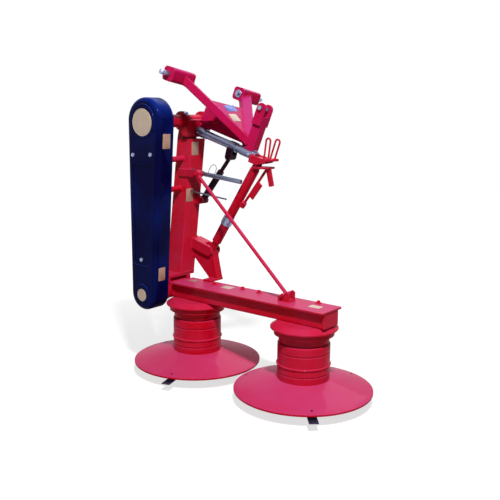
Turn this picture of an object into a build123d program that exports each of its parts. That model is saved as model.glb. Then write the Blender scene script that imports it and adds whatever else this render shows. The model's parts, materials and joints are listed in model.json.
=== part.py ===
"""Two-drum rotary mower, folded and parked on its drums.

A gear beam carries two counter-turning drums. A belt arm is hinged to the beam's end, and its top
carries a headstock whose slew shaft holds the three-point hitch. Millimetres, +Z up, +X along the
beam away from the arm, +Y the way the mower is driven at work.
"""
import math
import os

from build123d import *

os.makedirs("parts", exist_ok=True)

# Clearances
RUN = 0.05  # radial, a shaft turning or sliding in its bore
SEAT = 0.3  # between flat faces of pieces that move on each other
PLAY = 2.0  # at each side of an eye between its ears
STRUT_FLOAT = 5.0  # radial, in the strut's upper eye, where the linkage is free
RAM_FLOAT = 3.5  # radial, in the ram's upper eye

# Drums, discs and sliding dishes
DRUM_SPACING = 786.0
DISC_GAP = 22.0  # between the rims of the two discs
DRUM_R = 144.0
DRUM_WALL = 8.0
DRUM_FOOT_Z = 132.0
DRUM_H = 201.0
DRUM_EDGE_R = 7.0
BEAD_R = 6.0
BEAD_HEIGHT = 82.0  # above the drum's foot
GROOVE_R = 4.0
GROOVE_HEIGHTS = (38.0, 152.0)  # above the drum's foot
DISC_SHEET = 7.0
RIM_Z = 60.0
RIM_H = 10.0
RIM_W = 22.0
SPINDLE_R = 30.0
SPINDLE_FOOT_Z = 10.0
HUB_WALL = 14.0
DISC_HUB_Z = 84.0
DISH_R = 252.0
DISH_FLAT_R = 175.0
DISH_SHEET = 6.0
DISH_RIM_Z = 32.0
DISH_HUB_Z = 68.0

# Knives on each disc, free to swing on their pins
KNIFE_SWINGS = (0.0, 96.0, 96.0)  # parked: one hangs out, the others lie under the disc
KNIFE_REACH = 50.0  # past the disc's rim
KNIFE_LENGTH = 112.0
KNIFE_W = 50.0
KNIFE_T = 4.0
KNIFE_DROP = 15.0  # below the disc's rim
KNIFE_PIN_R = 7.0
KNIFE_PIN_EDGE = 34.0  # from the disc's rim in to the pin
KNIFE_PIN_HEAD_R = 15.0
KNIFE_PIN_HEAD_H = 7.0
KNIFE_PIN_PROUD = 4.0  # above the disc
KNIFE_TURN = {"left": -72.0, "right": -48.0}  # interleaved: the drums turn in step

# Fixed caps over the drums
CAP_SKIRT_R = 138.0
CAP_GAP = 7.0  # over the turning drum
CAP_SKIRT_H = 40.0
CAP_RING_R = 165.0
CAP_RING_H = 31.0
CAP_FLANGE_R = 185.0
CAP_FLANGE_T = 9.0
CAP_TOP_R = 150.0
CAP_CONE_H = 22.0

# Gear beam, with its ends past the drums' axes
BEAM_H = 85.0
BEAM_W = 134.0
BEAM_LEFT = 122.0
BEAM_RIGHT = 164.0
BEAM_EDGE_R = 8.0
COVER_W = 188.0
COVER_T = 10.0
COVER_LIP = 4.0  # past the end cap
END_CAP_T = 8.0

# Lower hinge: the gearbox at the beam's end and the fork of the arm
FOLD_OUT = 212.0  # from the left drum's axis
FOLD_RISE = 40.6  # above the beam's underside
GEARBOX_R = 64.0
GEARBOX_HALF_Y = 72.0
TRUNNION_R = 45.0
FORK_T = 25.0
FORK_R = 70.0
FORK_GAP = 8.0  # between the gearbox and the plate over it
BASE_T = 18.0

# Belt arm: heights count from its lower axis, distances out from that axis towards the drums
ARM_LEAN = 30.5
ARM_RISE = 1014.0
COLUMN_X = 120.0
COLUMN_Y = 130.0
COLUMN_FOOT_Y = 75.0
COLUMN_HEAD_Y = 155.0
COLUMN_HEAD_RISE = 907.4
COLUMN_EDGE_R = 10.0
GUARD_BACK_Y = -134.0
GUARD_PLATE_T = 8.0
GUARD_DEPTH = 108.0
GUARD_BOSS_H = 5.0
GUARD_BOSS_TOP_R = 98.0
GUARD_BOSS_LOW_R = 60.0
GUARD_TOP_R = 134.0
GUARD_LOW_R = 100.0
GUARD_EDGE_R = 28.0
PANEL_LOW = 0.17  # along the arm, from the lower axis
PANEL_HIGH = 0.755
PANEL_MARGIN = 40.0
PANEL_DEEP = 5.0
STAY_R = 17.0
STAY_RISES = (607.4, 787.4)
HOUSING_R = 38.0
HOUSING_BACK_Y = 285.0
NECK_X = 50.0
NECK_Y = 120.0
INPUT_R = 17.5
INPUT_LENGTH = 76.0
INPUT_ROOT = 20.0  # inside the housing
INPUT_COLLAR_R = 28.0
INPUT_COLLAR_T = 10.0

# Headstock: cheeks on the arm's top axis, bridge, slew shaft and the bracket at its end
SLEW_Y = 160.0
SLEW_DROP = 42.0  # from the top axis down to the slew axis
SLEW_TILT = 16.6  # of the slew axis below level
SHAFT_R = 25.0
SHAFT_START = 45.0
SHAFT_END = 540.0
BRIDGE_T = 17.0
BRIDGE_HIGH = 66.0  # above the slew axis
BRIDGE_LOW = 40.0
CHEEK_R = 58.0
CHEEK_T = 22.0
CHEEK_FRONT_Y = 62.0
CHEEK_BACK_Y = 236.0
COLLAR_R = 29.0
COLLAR_W = 46.0

# Strut and ram between the arm and the headstock
LINK_Y = 150.0
EAR_T = 12.0
LINK_PIN_R = 11.0
STRUT_LOW_OUT = 200.0
STRUT_LOW_RISE = 233.4
STRUT_HIGH_U = 574.0
STRUT_HIGH_N = -14.0
STRUT_EYE_R = 22.0
STRUT_EYE_W = 48.0
STRUT_ROD_R = 22.0
STRUT_TUBE_R = 28.0
STRUT_TUBE_FROM = 0.31  # share of the strut's closed length
STRUT_ROD_TO = 0.88
STRUT_NECK = 62.0  # from the head pin to the tube
STRUT_NECK_T = 28.0
STRUT_COLLAR_R = 34.0
STRUT_JACKET_R = 29.0  # thick lower part of the rod
STRUT_JACKET_FROM = 70.0
STRUT_COLLAR_L = 54.0
FLANGE_DROP = 38.0  # of the tube's flange below the head pin
FLANGE_BACK = 25.0
FLANGE_AHEAD = 80.0
FLANGE_T = 12.0
TAB_W = 32.0
TAB_L = 106.0
TAB_T = 10.0
TAB_LEAN = 13.0
SIDE_ROD_R = 8.0
SIDE_ROD_AHEAD = 54.0
SIDE_ROD_END = 0.55  # share of the strut's closed length
SIDE_ROD_OFF = 41.0
CLIP_R = 16.0
CLIP_L = 34.0
LEVER_L = 110.0
LEVER_W = 34.0
LEVER_T = 10.0
LEVER_FROM = 0.30  # share of the side rod's length
SHELF_U = 606.0
SHELF_N = 3.0
SHELF_L = 72.0
SHELF_T = 15.0
LOOP_R = 5.5
LOOP_W = 30.0
LOOP_H = 122.0
LOOP_BEND = 14.5
LOOP_ROWS = ((2.0, -8.0, 8.0), (34.0, 8.0, 20.0))  # start along the shelf, offset across it, lean
RAM_LOW_OUT = 50.0  # from the column's face
RAM_LOW_RISE = 536.4
RAM_HIGH_U = 362.0
RAM_HIGH_N = -62.0
RAM_EYE_R = 21.0
RAM_EYE_W = 30.0
RAM_BARREL_R = 20.0
RAM_BARREL_L = 235.0
RAM_ROD_R = 12.0
RAM_ROD_IN = 58.0

# Knee of the arm, which rests on the beam when the arm is folded
KNEE_W = 84.0
KNEE_LEG_W = 50.0
KNEE_FOOT_OUT = 236.0
KNEE_FOOT_L = 60.0
KNEE_ELBOW_OUT = 232.0
KNEE_ELBOW_RISE = 200.0
KNEE_EAR_R = 30.0
KNEE_EAR_RISE = 36.0  # of the ears' root over the strut's pin
KNEE_ROOT_LOW = 187.0
KNEE_ROOT_HIGH = 330.0
KNEE_PAD_T = 12.0
KNEE_PAD_Y = 60.0

# Storage post and tie rod
POST_R = 13.5
POST_L = 300.0
POST_Y = 96.0
POST_RISE = 713.4
POST_TILT = 5.9
POST_ROOT = 92.0
POST_SEAT = 20.0  # into the column
POST_BOSS_R = 18.0
PEG_R = 5.0
PEG_L = 285.0
PEG_RISE = 593.4
TIE_R = 10.5
TIE_TOP_OUT = 176.0
TIE_TOP_Y = 45.0
TIE_TOP_RISE = 704.4
TIE_LUG_T = 16.0
TIE_LUG_STRAP = 70.0
TIE_FOOT_IN = 121.0  # from the right drum's axis
TIE_FOOT_RISE = 40.0  # of the tie rod's foot above the cover
TIE_EYE_R = 22.0
TIE_EYE_W = 26.0
TIE_T_R = 10.0
TIE_T_L = 92.0
CRADLE_T = 10.0
CRADLE_GAP = 44.0
CRADLE_L = 72.0

# Three-point hitch, in its own frame on the slew shaft: u along the shaft, l across, n out from it
HITCH_TURN = 8.6  # turned from its folded stop
LOWER_SPAN = 825.0
LOWER_U = 87.0
LOWER_N = 281.0
LOWER_PIN_R = 14.0
LOWER_PIN_L = 66.0
BOSS_R = 40.0
BOSS_INNER = 232.0
SLEEVE_R = 30.0
SLEEVE_LOW_U = 70.0
SLEEVE_LOW_L = 70.0
SLEEVE_HIGH_U = 425.0
SLEEVE_HIGH_L = 95.0
LEG_W = 70.0
LEG_T = 46.0
LEG_FOOT_U = 450.0
LEG_FOOT_N = 58.0
WEB_T = 14.0
WEB_CLEAR = 9.0
WEB_OUT = 150.0
HITCH_SHELF = ((92.0, 62.0), (200.0, 94.0))  # u and n of its two ends
HITCH_SHELF_W = 96.0
HITCH_SHELF_T = 10.0
GUSSET_T = 10.0
GUSSET_REACH = 285.0  # from the legs' foot
TOP_U = 487.0
TOP_N = 265.0
TOP_LEG_W = 62.0
TOP_EAR_GAP = 52.0
TOP_EAR_T = 14.0
TOP_EAR_R = 30.0
TOP_EAR_L = 96.0  # from the pin down the sides of the leg
TOP_EAR_DEEP = 42.0  # from the pin to the leg's end
TOP_PIN_R = 12.7

# Worked-out places
drum_left_x = -DRUM_SPACING / 2
drum_right_x = DRUM_SPACING / 2
disc_r = (DRUM_SPACING - DISC_GAP) / 2
knife_tip_r = disc_r + KNIFE_REACH
knife_pin_circle_r = disc_r - KNIFE_PIN_EDGE
knife_z = RIM_Z - KNIFE_DROP
drum_top_z = DRUM_FOOT_Z + DRUM_H
cap_skirt_z = drum_top_z + CAP_GAP
cap_ring_z = cap_skirt_z + CAP_SKIRT_H
cap_flange_z = cap_ring_z + CAP_RING_H
beam_z = cap_flange_z + CAP_FLANGE_T + CAP_CONE_H
beam_left_x = drum_left_x - BEAM_LEFT
beam_right_x = drum_right_x + BEAM_RIGHT
cover_z = beam_z + BEAM_H + COVER_T
fold_x = drum_left_x - FOLD_OUT
fold_z = beam_z + FOLD_RISE
arm_top_x = fold_x + ARM_LEAN
arm_top_z = fold_z + ARM_RISE
column_head_z = fold_z + COLUMN_HEAD_RISE
strut_low_x = fold_x + STRUT_LOW_OUT
strut_low_z = fold_z + STRUT_LOW_RISE
ram_low_z = fold_z + RAM_LOW_RISE
fork_top_z = fold_z + GEARBOX_R + FORK_GAP
column_foot_z = fork_top_z + BASE_T


def arm_x(z):
    """X of the arm's centre line at height z."""
    return fold_x + ARM_LEAN * (z - fold_z) / ARM_RISE


def column_y(z):
    """Y of the column's centre line at height z."""
    share = (z - column_foot_z) / (column_head_z - column_foot_z)
    return COLUMN_FOOT_Y + share * (COLUMN_HEAD_Y - COLUMN_FOOT_Y)


def column_face(z):
    """X of the column's face towards the drums at height z."""
    return arm_x(z) + COLUMN_X / 2


tilt = math.radians(SLEW_TILT)
turn = math.radians(HITCH_TURN)
along = Vector(math.cos(tilt), 0, -math.sin(tilt))
rise = Vector(math.sin(tilt), 0, math.cos(tilt))
driven = Vector(0, 1, 0)
slew_origin = Vector(arm_top_x, SLEW_Y, arm_top_z) - rise * SLEW_DROP
across = driven * math.cos(turn) - rise * math.sin(turn)
out = rise * math.cos(turn) + driven * math.sin(turn)

head = Plane(origin=slew_origin, x_dir=driven, z_dir=along)  # local x = Y, y = rise, z = u
hitch = Plane(origin=slew_origin, x_dir=across, z_dir=along)  # local x = l, y = n, z = u
hitch_side = Plane(origin=slew_origin, x_dir=along, z_dir=-across)  # local x = u, y = n


def head_point(u, n, y=LINK_Y):
    """Point of the headstock by its place along and above the slew shaft."""
    point = slew_origin + along * u + rise * n
    return Vector(point.X, y, point.Z)


def xz_plane(y):
    """Upright plane along the beam at y: local x is X, local y is Z, and it faces -Y."""
    return Plane.XZ.offset(-y)


def bar_plane(start, end, side):
    """Plane across a bar from start to end, with its local x near the side direction."""
    direction = (end - start).normalized()
    flat = side - direction * side.dot(direction)
    return Plane(origin=start, x_dir=flat, z_dir=direction)


pieces = {}

# Cutter bar: box, cover plate and end cap
beam_length = beam_right_x - beam_left_x
cover_length = beam_length + END_CAP_T + COVER_LIP
with BuildPart() as beam_box:
    with BuildSketch(Plane.YZ.offset(beam_left_x)):
        with Locations((0, beam_z + BEAM_H / 2)):
            RectangleRounded(BEAM_W, BEAM_H, BEAM_EDGE_R)
    extrude(amount=beam_length)
pieces["beam_box"] = beam_box

with BuildPart() as beam_cover:
    with BuildSketch(Plane.XY.offset(beam_z + BEAM_H)):
        with Locations((beam_left_x + cover_length / 2, 0)):
            RectangleRounded(cover_length, COVER_W, BEAM_EDGE_R)
    extrude(amount=COVER_T)
pieces["beam_cover"] = beam_cover

with BuildPart() as beam_end_cap:
    with BuildSketch(Plane.YZ.offset(beam_right_x)):
        with Locations((0, beam_z + BEAM_H / 2)):
            RectangleRounded(BEAM_W, BEAM_H, BEAM_EDGE_R)
    extrude(amount=END_CAP_T)
    chamfer(beam_end_cap.faces().sort_by(Axis.X)[-1].edges(), END_CAP_T / 2)
pieces["beam_end_cap"] = beam_end_cap

# Gearbox at the beam's end, with a trunnion at each side for the arm's fork
with BuildPart() as gearbox_housing:
    with BuildSketch(xz_plane(GEARBOX_HALF_Y)):
        with Locations((fold_x, fold_z)):
            Circle(GEARBOX_R)
        with BuildLine():
            Polyline(
                (fold_x, beam_z + BEAM_EDGE_R),
                (beam_left_x, beam_z + BEAM_EDGE_R),
                (beam_left_x, beam_z + BEAM_H - BEAM_EDGE_R),
                (fold_x, fold_z + GEARBOX_R),
                close=True,
            )
        make_face()
    extrude(amount=2 * GEARBOX_HALF_Y)
    with BuildSketch(xz_plane(GEARBOX_HALF_Y + FORK_T + PLAY)):
        with Locations((fold_x, fold_z)):
            Circle(TRUNNION_R)
    extrude(amount=2 * (GEARBOX_HALF_Y + FORK_T + PLAY))
pieces["gearbox_housing"] = gearbox_housing

# Two drum units: fixed cap and spindle, turning drum, disc and knives, free sliding dish
for side, drum_x in (("left", drum_left_x), ("right", drum_right_x)):
    section = Plane.XZ.move(Location((drum_x, 0, 0)))
    drum_axis = Axis((drum_x, 0, 0), (0, 0, 1))

    with BuildPart() as drum_cap:
        with BuildSketch(section) as cap_section:
            with BuildLine():
                Polyline(
                    (0, cap_skirt_z),
                    (CAP_SKIRT_R, cap_skirt_z),
                    (CAP_SKIRT_R, cap_ring_z),
                    (CAP_RING_R, cap_ring_z),
                    (CAP_RING_R, cap_flange_z),
                    (CAP_FLANGE_R, cap_flange_z),
                    (CAP_FLANGE_R, cap_flange_z + CAP_FLANGE_T),
                    (CAP_TOP_R, beam_z),
                    (0, beam_z),
                    close=True,
                )
            make_face()
            fillet(cap_section.vertices().group_by(Axis.X)[-1], CAP_FLANGE_T / 3)
        revolve(axis=drum_axis)
    pieces[f"drum_cap_{side}"] = drum_cap

    with BuildPart() as spindle:
        with BuildSketch(Plane.XY.offset(SPINDLE_FOOT_Z)):
            with Locations((drum_x, 0)):
                Circle(SPINDLE_R)
        extrude(amount=cap_skirt_z - SPINDLE_FOOT_Z)
    pieces[f"spindle_{side}"] = spindle

    bore_r = SPINDLE_R + RUN
    with BuildPart() as drum:
        with BuildSketch(section) as drum_section:
            with BuildLine():
                Polyline(
                    (DRUM_R - DRUM_WALL, DRUM_FOOT_Z),
                    (DRUM_R, DRUM_FOOT_Z),
                    (DRUM_R, drum_top_z),
                    (bore_r, drum_top_z),
                    (bore_r, drum_top_z - 3 * DRUM_WALL),
                    (bore_r + HUB_WALL, drum_top_z - 3 * DRUM_WALL),
                    (bore_r + HUB_WALL, drum_top_z - DRUM_WALL),
                    (DRUM_R - DRUM_WALL, drum_top_z - DRUM_WALL),
                    close=True,
                )
            make_face()
            with Locations((DRUM_R, DRUM_FOOT_Z + BEAD_HEIGHT)):
                Circle(BEAD_R)
            with Locations(*[(DRUM_R, DRUM_FOOT_Z + height) for height in GROOVE_HEIGHTS]):
                Circle(GROOVE_R, mode=Mode.SUBTRACT)
            fillet(drum_section.vertices().sort_by_distance((DRUM_R, drum_top_z, 0))[0], DRUM_EDGE_R)
        revolve(axis=drum_axis)
    pieces[f"drum_{side}"] = drum

    rim_top = RIM_Z + RIM_H
    with BuildPart() as disc:
        with BuildSketch(section):
            with BuildLine():
                Polyline(
                    (bore_r, DRUM_FOOT_Z),
                    (DRUM_R + BEAD_R, DRUM_FOOT_Z),
                    (disc_r - RIM_W, rim_top + DISC_SHEET),
                    (disc_r, rim_top),
                    (disc_r, RIM_Z),
                    (disc_r - DISC_SHEET, RIM_Z),
                    (disc_r - DISC_SHEET, rim_top - DISC_SHEET),
                    (disc_r - RIM_W, rim_top),
                    (DRUM_R, DRUM_FOOT_Z - DISC_SHEET),
                    (bore_r + HUB_WALL, DRUM_FOOT_Z - DISC_SHEET),
                    (bore_r + HUB_WALL, DISC_HUB_Z),
                    (bore_r, DISC_HUB_Z),
                    close=True,
                )
            make_face()
        revolve(axis=drum_axis)

    # Each pin has its head under the knife and passes up through the disc
    pin_top = rim_top + DISC_SHEET + KNIFE_PIN_PROUD
    disc_plane = Plane((drum_x, 0, knife_z - KNIFE_PIN_HEAD_H))
    with BuildPart() as knife_pins:
        with BuildSketch(disc_plane):
            with PolarLocations(knife_pin_circle_r, len(KNIFE_SWINGS), start_angle=KNIFE_TURN[side]):
                Circle(KNIFE_PIN_HEAD_R)
        extrude(amount=KNIFE_PIN_HEAD_H)
        with BuildSketch(disc_plane):
            with PolarLocations(knife_pin_circle_r, len(KNIFE_SWINGS), start_angle=KNIFE_TURN[side]):
                Circle(KNIFE_PIN_R)
        extrude(amount=pin_top - knife_z + KNIFE_PIN_HEAD_H)
    pieces[f"knife_pins_{side}"] = knife_pins
    with disc:
        add(knife_pins.part, mode=Mode.SUBTRACT)
    pieces[f"disc_{side}"] = disc

    knife_ahead = knife_tip_r - knife_pin_circle_r - KNIFE_LENGTH / 2
    with BuildPart() as knives:
        for index, swing in enumerate(KNIFE_SWINGS):
            angle = KNIFE_TURN[side] + index * 360 / len(KNIFE_SWINGS)
            pin_x = drum_x + knife_pin_circle_r * math.cos(math.radians(angle))
            pin_y = knife_pin_circle_r * math.sin(math.radians(angle))
            with BuildSketch(Plane(Location((pin_x, pin_y, knife_z), (0, 0, angle + swing)))):
                with Locations((knife_ahead, 0)):
                    RectangleRounded(KNIFE_LENGTH, KNIFE_W, KNIFE_T)
                Circle(KNIFE_PIN_R, mode=Mode.SUBTRACT)
            extrude(amount=KNIFE_T)
    pieces[f"knives_{side}"] = knives

    with BuildPart() as dish:
        with BuildSketch(section):
            with BuildLine():
                Polyline(
                    (0, 0),
                    (DISH_FLAT_R, 0),
                    (DISH_R, DISH_RIM_Z),
                    (DISH_R, DISH_RIM_Z + DISH_SHEET),
                    (DISH_FLAT_R, DISH_SHEET),
                    (bore_r + HUB_WALL, DISH_SHEET),
                    (bore_r + HUB_WALL, DISH_HUB_Z),
                    (bore_r, DISH_HUB_Z),
                    (bore_r, DISH_SHEET),
                    (0, DISH_SHEET),
                    close=True,
                )
            make_face()
        revolve(axis=drum_axis)
    pieces[f"dish_{side}"] = dish

# Cradle on the beam for the tie rod's foot: two plates with a round seat open at the top
tie_foot_x = drum_right_x - TIE_FOOT_IN
tie_foot_z = cover_z + TIE_FOOT_RISE
with BuildPart() as tie_cradle:
    with BuildSketch(xz_plane(CRADLE_GAP / 2 + CRADLE_T)):
        with BuildLine():
            Polyline(
                (tie_foot_x - CRADLE_L / 2, cover_z),
                (tie_foot_x + CRADLE_L / 2, cover_z),
                (tie_foot_x + CRADLE_L / 2, tie_foot_z + TIE_T_R),
                (tie_foot_x + TIE_T_R + CRADLE_T, tie_foot_z + 2 * TIE_T_R),
                (tie_foot_x, tie_foot_z),
                (tie_foot_x - CRADLE_L / 2, tie_foot_z - TIE_T_R),
                close=True,
            )
        make_face()
        with Locations((tie_foot_x, tie_foot_z)):
            Circle(TIE_T_R + SEAT, mode=Mode.SUBTRACT)
    extrude(amount=2 * CRADLE_T + CRADLE_GAP)
    with BuildSketch(xz_plane(CRADLE_GAP / 2)):
        with Locations((tie_foot_x, tie_foot_z + CRADLE_T)):
            Rectangle(2 * CRADLE_L, 2 * TIE_FOOT_RISE)
    extrude(amount=CRADLE_GAP, mode=Mode.SUBTRACT)
pieces["tie_cradle"] = tie_cradle

# Arm: fork cheeks on the gearbox trunnions, base plate and leaning box column
cheek_inner = GEARBOX_HALF_Y + PLAY
with BuildPart() as arm_cheeks:
    for cheek_y in (cheek_inner + FORK_T, -cheek_inner):
        with BuildSketch(xz_plane(cheek_y)):
            with Locations((fold_x, fold_z)):
                Circle(FORK_R)
            with BuildLine():
                Polyline(
                    (fold_x - FORK_R, fold_z),
                    (fold_x + FORK_R, fold_z),
                    (column_face(fork_top_z), fork_top_z),
                    (column_face(fork_top_z) - COLUMN_X, fork_top_z),
                    close=True,
                )
            make_face()
            with Locations((fold_x, fold_z)):
                Circle(TRUNNION_R + RUN, mode=Mode.SUBTRACT)
        extrude(amount=FORK_T)
pieces["arm_cheeks"] = arm_cheeks

base_front_y = -cheek_inner - FORK_T
base_back_y = column_y(column_foot_z) + COLUMN_Y / 2
with BuildPart() as arm_base:
    with BuildSketch(Plane.XY.offset(fork_top_z)):
        with Locations((arm_x(fork_top_z), (base_front_y + base_back_y) / 2)):
            RectangleRounded(COLUMN_X, base_back_y - base_front_y, COLUMN_EDGE_R)
    extrude(amount=BASE_T)
pieces["arm_base"] = arm_base

with BuildPart() as arm_column:
    for z in (column_foot_z, column_head_z):
        with BuildSketch(Plane.XY.offset(z)):
            with Locations((arm_x(z), column_y(z))):
                RectangleRounded(COLUMN_X, COLUMN_Y, COLUMN_EDGE_R)
    loft()
pieces["arm_column"] = arm_column

# Bearing housing of the top axis, on a neck that leaves room for the slew shaft
with BuildPart() as bearing_housing:
    with BuildSketch(xz_plane(HOUSING_BACK_Y)):
        with Locations((arm_top_x, arm_top_z)):
            Circle(HOUSING_R)
    extrude(amount=HOUSING_BACK_Y - GUARD_BACK_Y)
    neck_back_y = COLUMN_HEAD_Y + NECK_Y / 2
    neck_left_x = arm_x(column_head_z) - COLUMN_X / 2
    with BuildSketch(xz_plane(neck_back_y)):
        with BuildLine():
            Polyline(
                (neck_left_x, column_head_z),
                (neck_left_x + NECK_X, column_head_z),
                (neck_left_x + NECK_X, arm_top_z),
                (arm_top_x - HOUSING_R, arm_top_z),
                close=True,
            )
        make_face()
    extrude(amount=NECK_Y)
    with BuildSketch(xz_plane(HOUSING_BACK_Y)):
        with Locations((arm_top_x, arm_top_z)):
            Circle(INPUT_R + RUN)
    extrude(amount=INPUT_ROOT + SEAT, mode=Mode.SUBTRACT)
pieces["bearing_housing"] = bearing_housing

with BuildPart() as input_shaft:
    with BuildSketch(xz_plane(HOUSING_BACK_Y + INPUT_COLLAR_T + INPUT_LENGTH)):
        with Locations((arm_top_x, arm_top_z)):
            Circle(INPUT_R)
    extrude(amount=INPUT_LENGTH + INPUT_COLLAR_T + INPUT_ROOT)
    with BuildSketch(xz_plane(HOUSING_BACK_Y + INPUT_COLLAR_T)):
        with Locations((arm_top_x, arm_top_z)):
            Circle(INPUT_COLLAR_R)
    extrude(amount=INPUT_COLLAR_T - SEAT)
    chamfer(input_shaft.faces().sort_by(Axis.Y)[-1].edges(), INPUT_R / 8)
pieces["input_shaft"] = input_shaft

# Belt guard: back plate, shell round the two pulleys with a soft front edge, bosses and a sunk panel
with BuildPart() as guard_plate:
    with BuildSketch(xz_plane(GUARD_BACK_Y)):
        with Locations((fold_x, fold_z)):
            Circle(GUARD_LOW_R)
        with Locations((arm_top_x, arm_top_z)):
            Circle(GUARD_TOP_R)
        make_hull()
    extrude(amount=GUARD_PLATE_T)
pieces["guard_plate"] = guard_plate

shell_back_y = GUARD_BACK_Y - GUARD_PLATE_T
guard_front_y = shell_back_y - GUARD_DEPTH
with BuildPart() as belt_guard:
    with BuildSketch(xz_plane(shell_back_y)):
        with Locations((fold_x, fold_z)):
            Circle(GUARD_LOW_R)
        with Locations((arm_top_x, arm_top_z)):
            Circle(GUARD_TOP_R)
        make_hull()
    extrude(amount=GUARD_DEPTH)
    fillet(belt_guard.faces().sort_by(Axis.Y)[0].edges(), GUARD_EDGE_R)
    with BuildSketch(xz_plane(guard_front_y)):
        with Locations((arm_top_x, arm_top_z)):
            Circle(GUARD_BOSS_TOP_R)
        with Locations((fold_x, fold_z)):
            Circle(GUARD_BOSS_LOW_R)
    extrude(amount=GUARD_BOSS_H)
    fillet(belt_guard.faces().group_by(Axis.Y)[0].edges(), GUARD_BOSS_H / 2)
    panel_rows = []
    for share in (PANEL_LOW, PANEL_HIGH):
        half = GUARD_LOW_R + share * (GUARD_TOP_R - GUARD_LOW_R) - PANEL_MARGIN
        panel_rows.append((fold_x + share * ARM_LEAN, fold_z + share * ARM_RISE, half))
    (low_x, low_z, low_half), (high_x, high_z, high_half) = panel_rows
    with BuildSketch(xz_plane(guard_front_y + PANEL_DEEP)) as panel:
        with BuildLine():
            Polyline(
                (low_x - low_half, low_z),
                (low_x + low_half, low_z),
                (high_x + high_half, high_z),
                (high_x - high_half, high_z),
                close=True,
            )
        make_face()
        fillet(panel.vertices(), PANEL_MARGIN / 2)
    extrude(amount=PANEL_DEEP, mode=Mode.SUBTRACT)
pieces["belt_guard"] = belt_guard

# Stays from the guard's back: two to the column's front and one to the fork's front cheek
with BuildPart() as guard_stays:
    for stay_z in [fold_z + stay_rise for stay_rise in STAY_RISES]:
        with BuildSketch(xz_plane(GUARD_BACK_Y)):
            with Locations((arm_x(stay_z), stay_z)):
                Circle(STAY_R)
        extrude(amount=-(column_y(stay_z) - GUARD_BACK_Y))
    with BuildSketch(xz_plane(GUARD_BACK_Y)):
        with Locations((fold_x, fold_z)):
            Circle(FORK_R - STAY_R)
    extrude(amount=-(base_front_y - GUARD_BACK_Y))
    add(arm_column.part, mode=Mode.SUBTRACT)
pieces["guard_stays"] = guard_stays

# Knee: slanted elbow from the column out and down to a pad on the beam, slotted for the strut's foot
knee_foot_x = fold_x + KNEE_FOOT_OUT
knee_foot_z = cover_z + SEAT
with BuildPart() as arm_knee:
    with BuildSketch(xz_plane(LINK_Y + KNEE_LEG_W / 2)) as elbow:
        with BuildLine():
            Polyline(
                (fold_x, fold_z + KNEE_ROOT_LOW),
                (column_face(fold_z + KNEE_ROOT_LOW), fold_z + KNEE_ROOT_LOW),
                (knee_foot_x - KNEE_FOOT_L / 2, knee_foot_z),
                (knee_foot_x + KNEE_FOOT_L / 2, knee_foot_z),
                (fold_x + KNEE_ELBOW_OUT, fold_z + KNEE_ELBOW_RISE),
                (strut_low_x + STRUT_EYE_R + KNEE_PAD_T, strut_low_z + STRUT_EYE_R),
                (strut_low_x - STRUT_EYE_R, strut_low_z + STRUT_EYE_R),
                (fold_x, fold_z + KNEE_ROOT_HIGH),
                close=True,
            )
        make_face()
        elbow_corner = (fold_x + KNEE_ELBOW_OUT, fold_z + KNEE_ELBOW_RISE, 0)
        fillet(elbow.vertices().sort_by_distance(elbow_corner)[0], KNEE_PAD_T)
    extrude(amount=KNEE_LEG_W)
    ear_root_z = strut_low_z + KNEE_EAR_RISE
    with BuildSketch(xz_plane(LINK_Y + KNEE_W / 2)):
        with Locations((strut_low_x, strut_low_z), (column_face(ear_root_z), ear_root_z)):
            Circle(KNEE_EAR_R)
        make_hull()
    extrude(amount=KNEE_W)
    with BuildSketch(Plane.XY.offset(knee_foot_z)):
        with Locations((knee_foot_x, (KNEE_PAD_Y + LINK_Y + KNEE_LEG_W / 2) / 2)):
            Rectangle(KNEE_FOOT_L, LINK_Y + KNEE_LEG_W / 2 - KNEE_PAD_Y)
    extrude(amount=KNEE_PAD_T)
    add(arm_column.part, mode=Mode.SUBTRACT)
    slot_w = STRUT_EYE_W + 2 * PLAY
    with BuildSketch(xz_plane(LINK_Y + slot_w / 2)):
        with Locations((strut_low_x, strut_low_z)):
            Circle(STRUT_EYE_R + 3 * PLAY)
        with Locations((strut_low_x + STRUT_EYE_R, strut_low_z + 2 * STRUT_EYE_R)):
            Rectangle(6 * STRUT_EYE_R, 4 * STRUT_EYE_R)
    extrude(amount=slot_w, mode=Mode.SUBTRACT)
    with BuildSketch(xz_plane(LINK_Y + KNEE_W / 2)):
        with Locations((strut_low_x, strut_low_z)):
            Circle(LINK_PIN_R)
    extrude(amount=KNEE_W)
pieces["arm_knee"] = arm_knee

# Ears on the column for the ram's foot, with their pin
ram_low_x = column_face(ram_low_z) + RAM_LOW_OUT
ram_ear_inner = RAM_EYE_W / 2 + PLAY
with BuildPart() as ram_ears:
    for ear_y in (LINK_Y + ram_ear_inner + EAR_T, LINK_Y - ram_ear_inner):
        with BuildSketch(xz_plane(ear_y)):
            with Locations((ram_low_x, ram_low_z)):
                Circle(RAM_EYE_R)
            with Locations((ram_low_x - RAM_LOW_OUT, ram_low_z)):
                Rectangle(2 * RAM_LOW_OUT, 2 * RAM_EYE_R)
        extrude(amount=EAR_T)
    with BuildSketch(xz_plane(LINK_Y + ram_ear_inner + EAR_T)):
        with Locations((ram_low_x, ram_low_z)):
            Circle(LINK_PIN_R)
    extrude(amount=2 * (ram_ear_inner + EAR_T))
    add(arm_column.part, mode=Mode.SUBTRACT)
pieces["ram_ears"] = ram_ears

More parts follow.
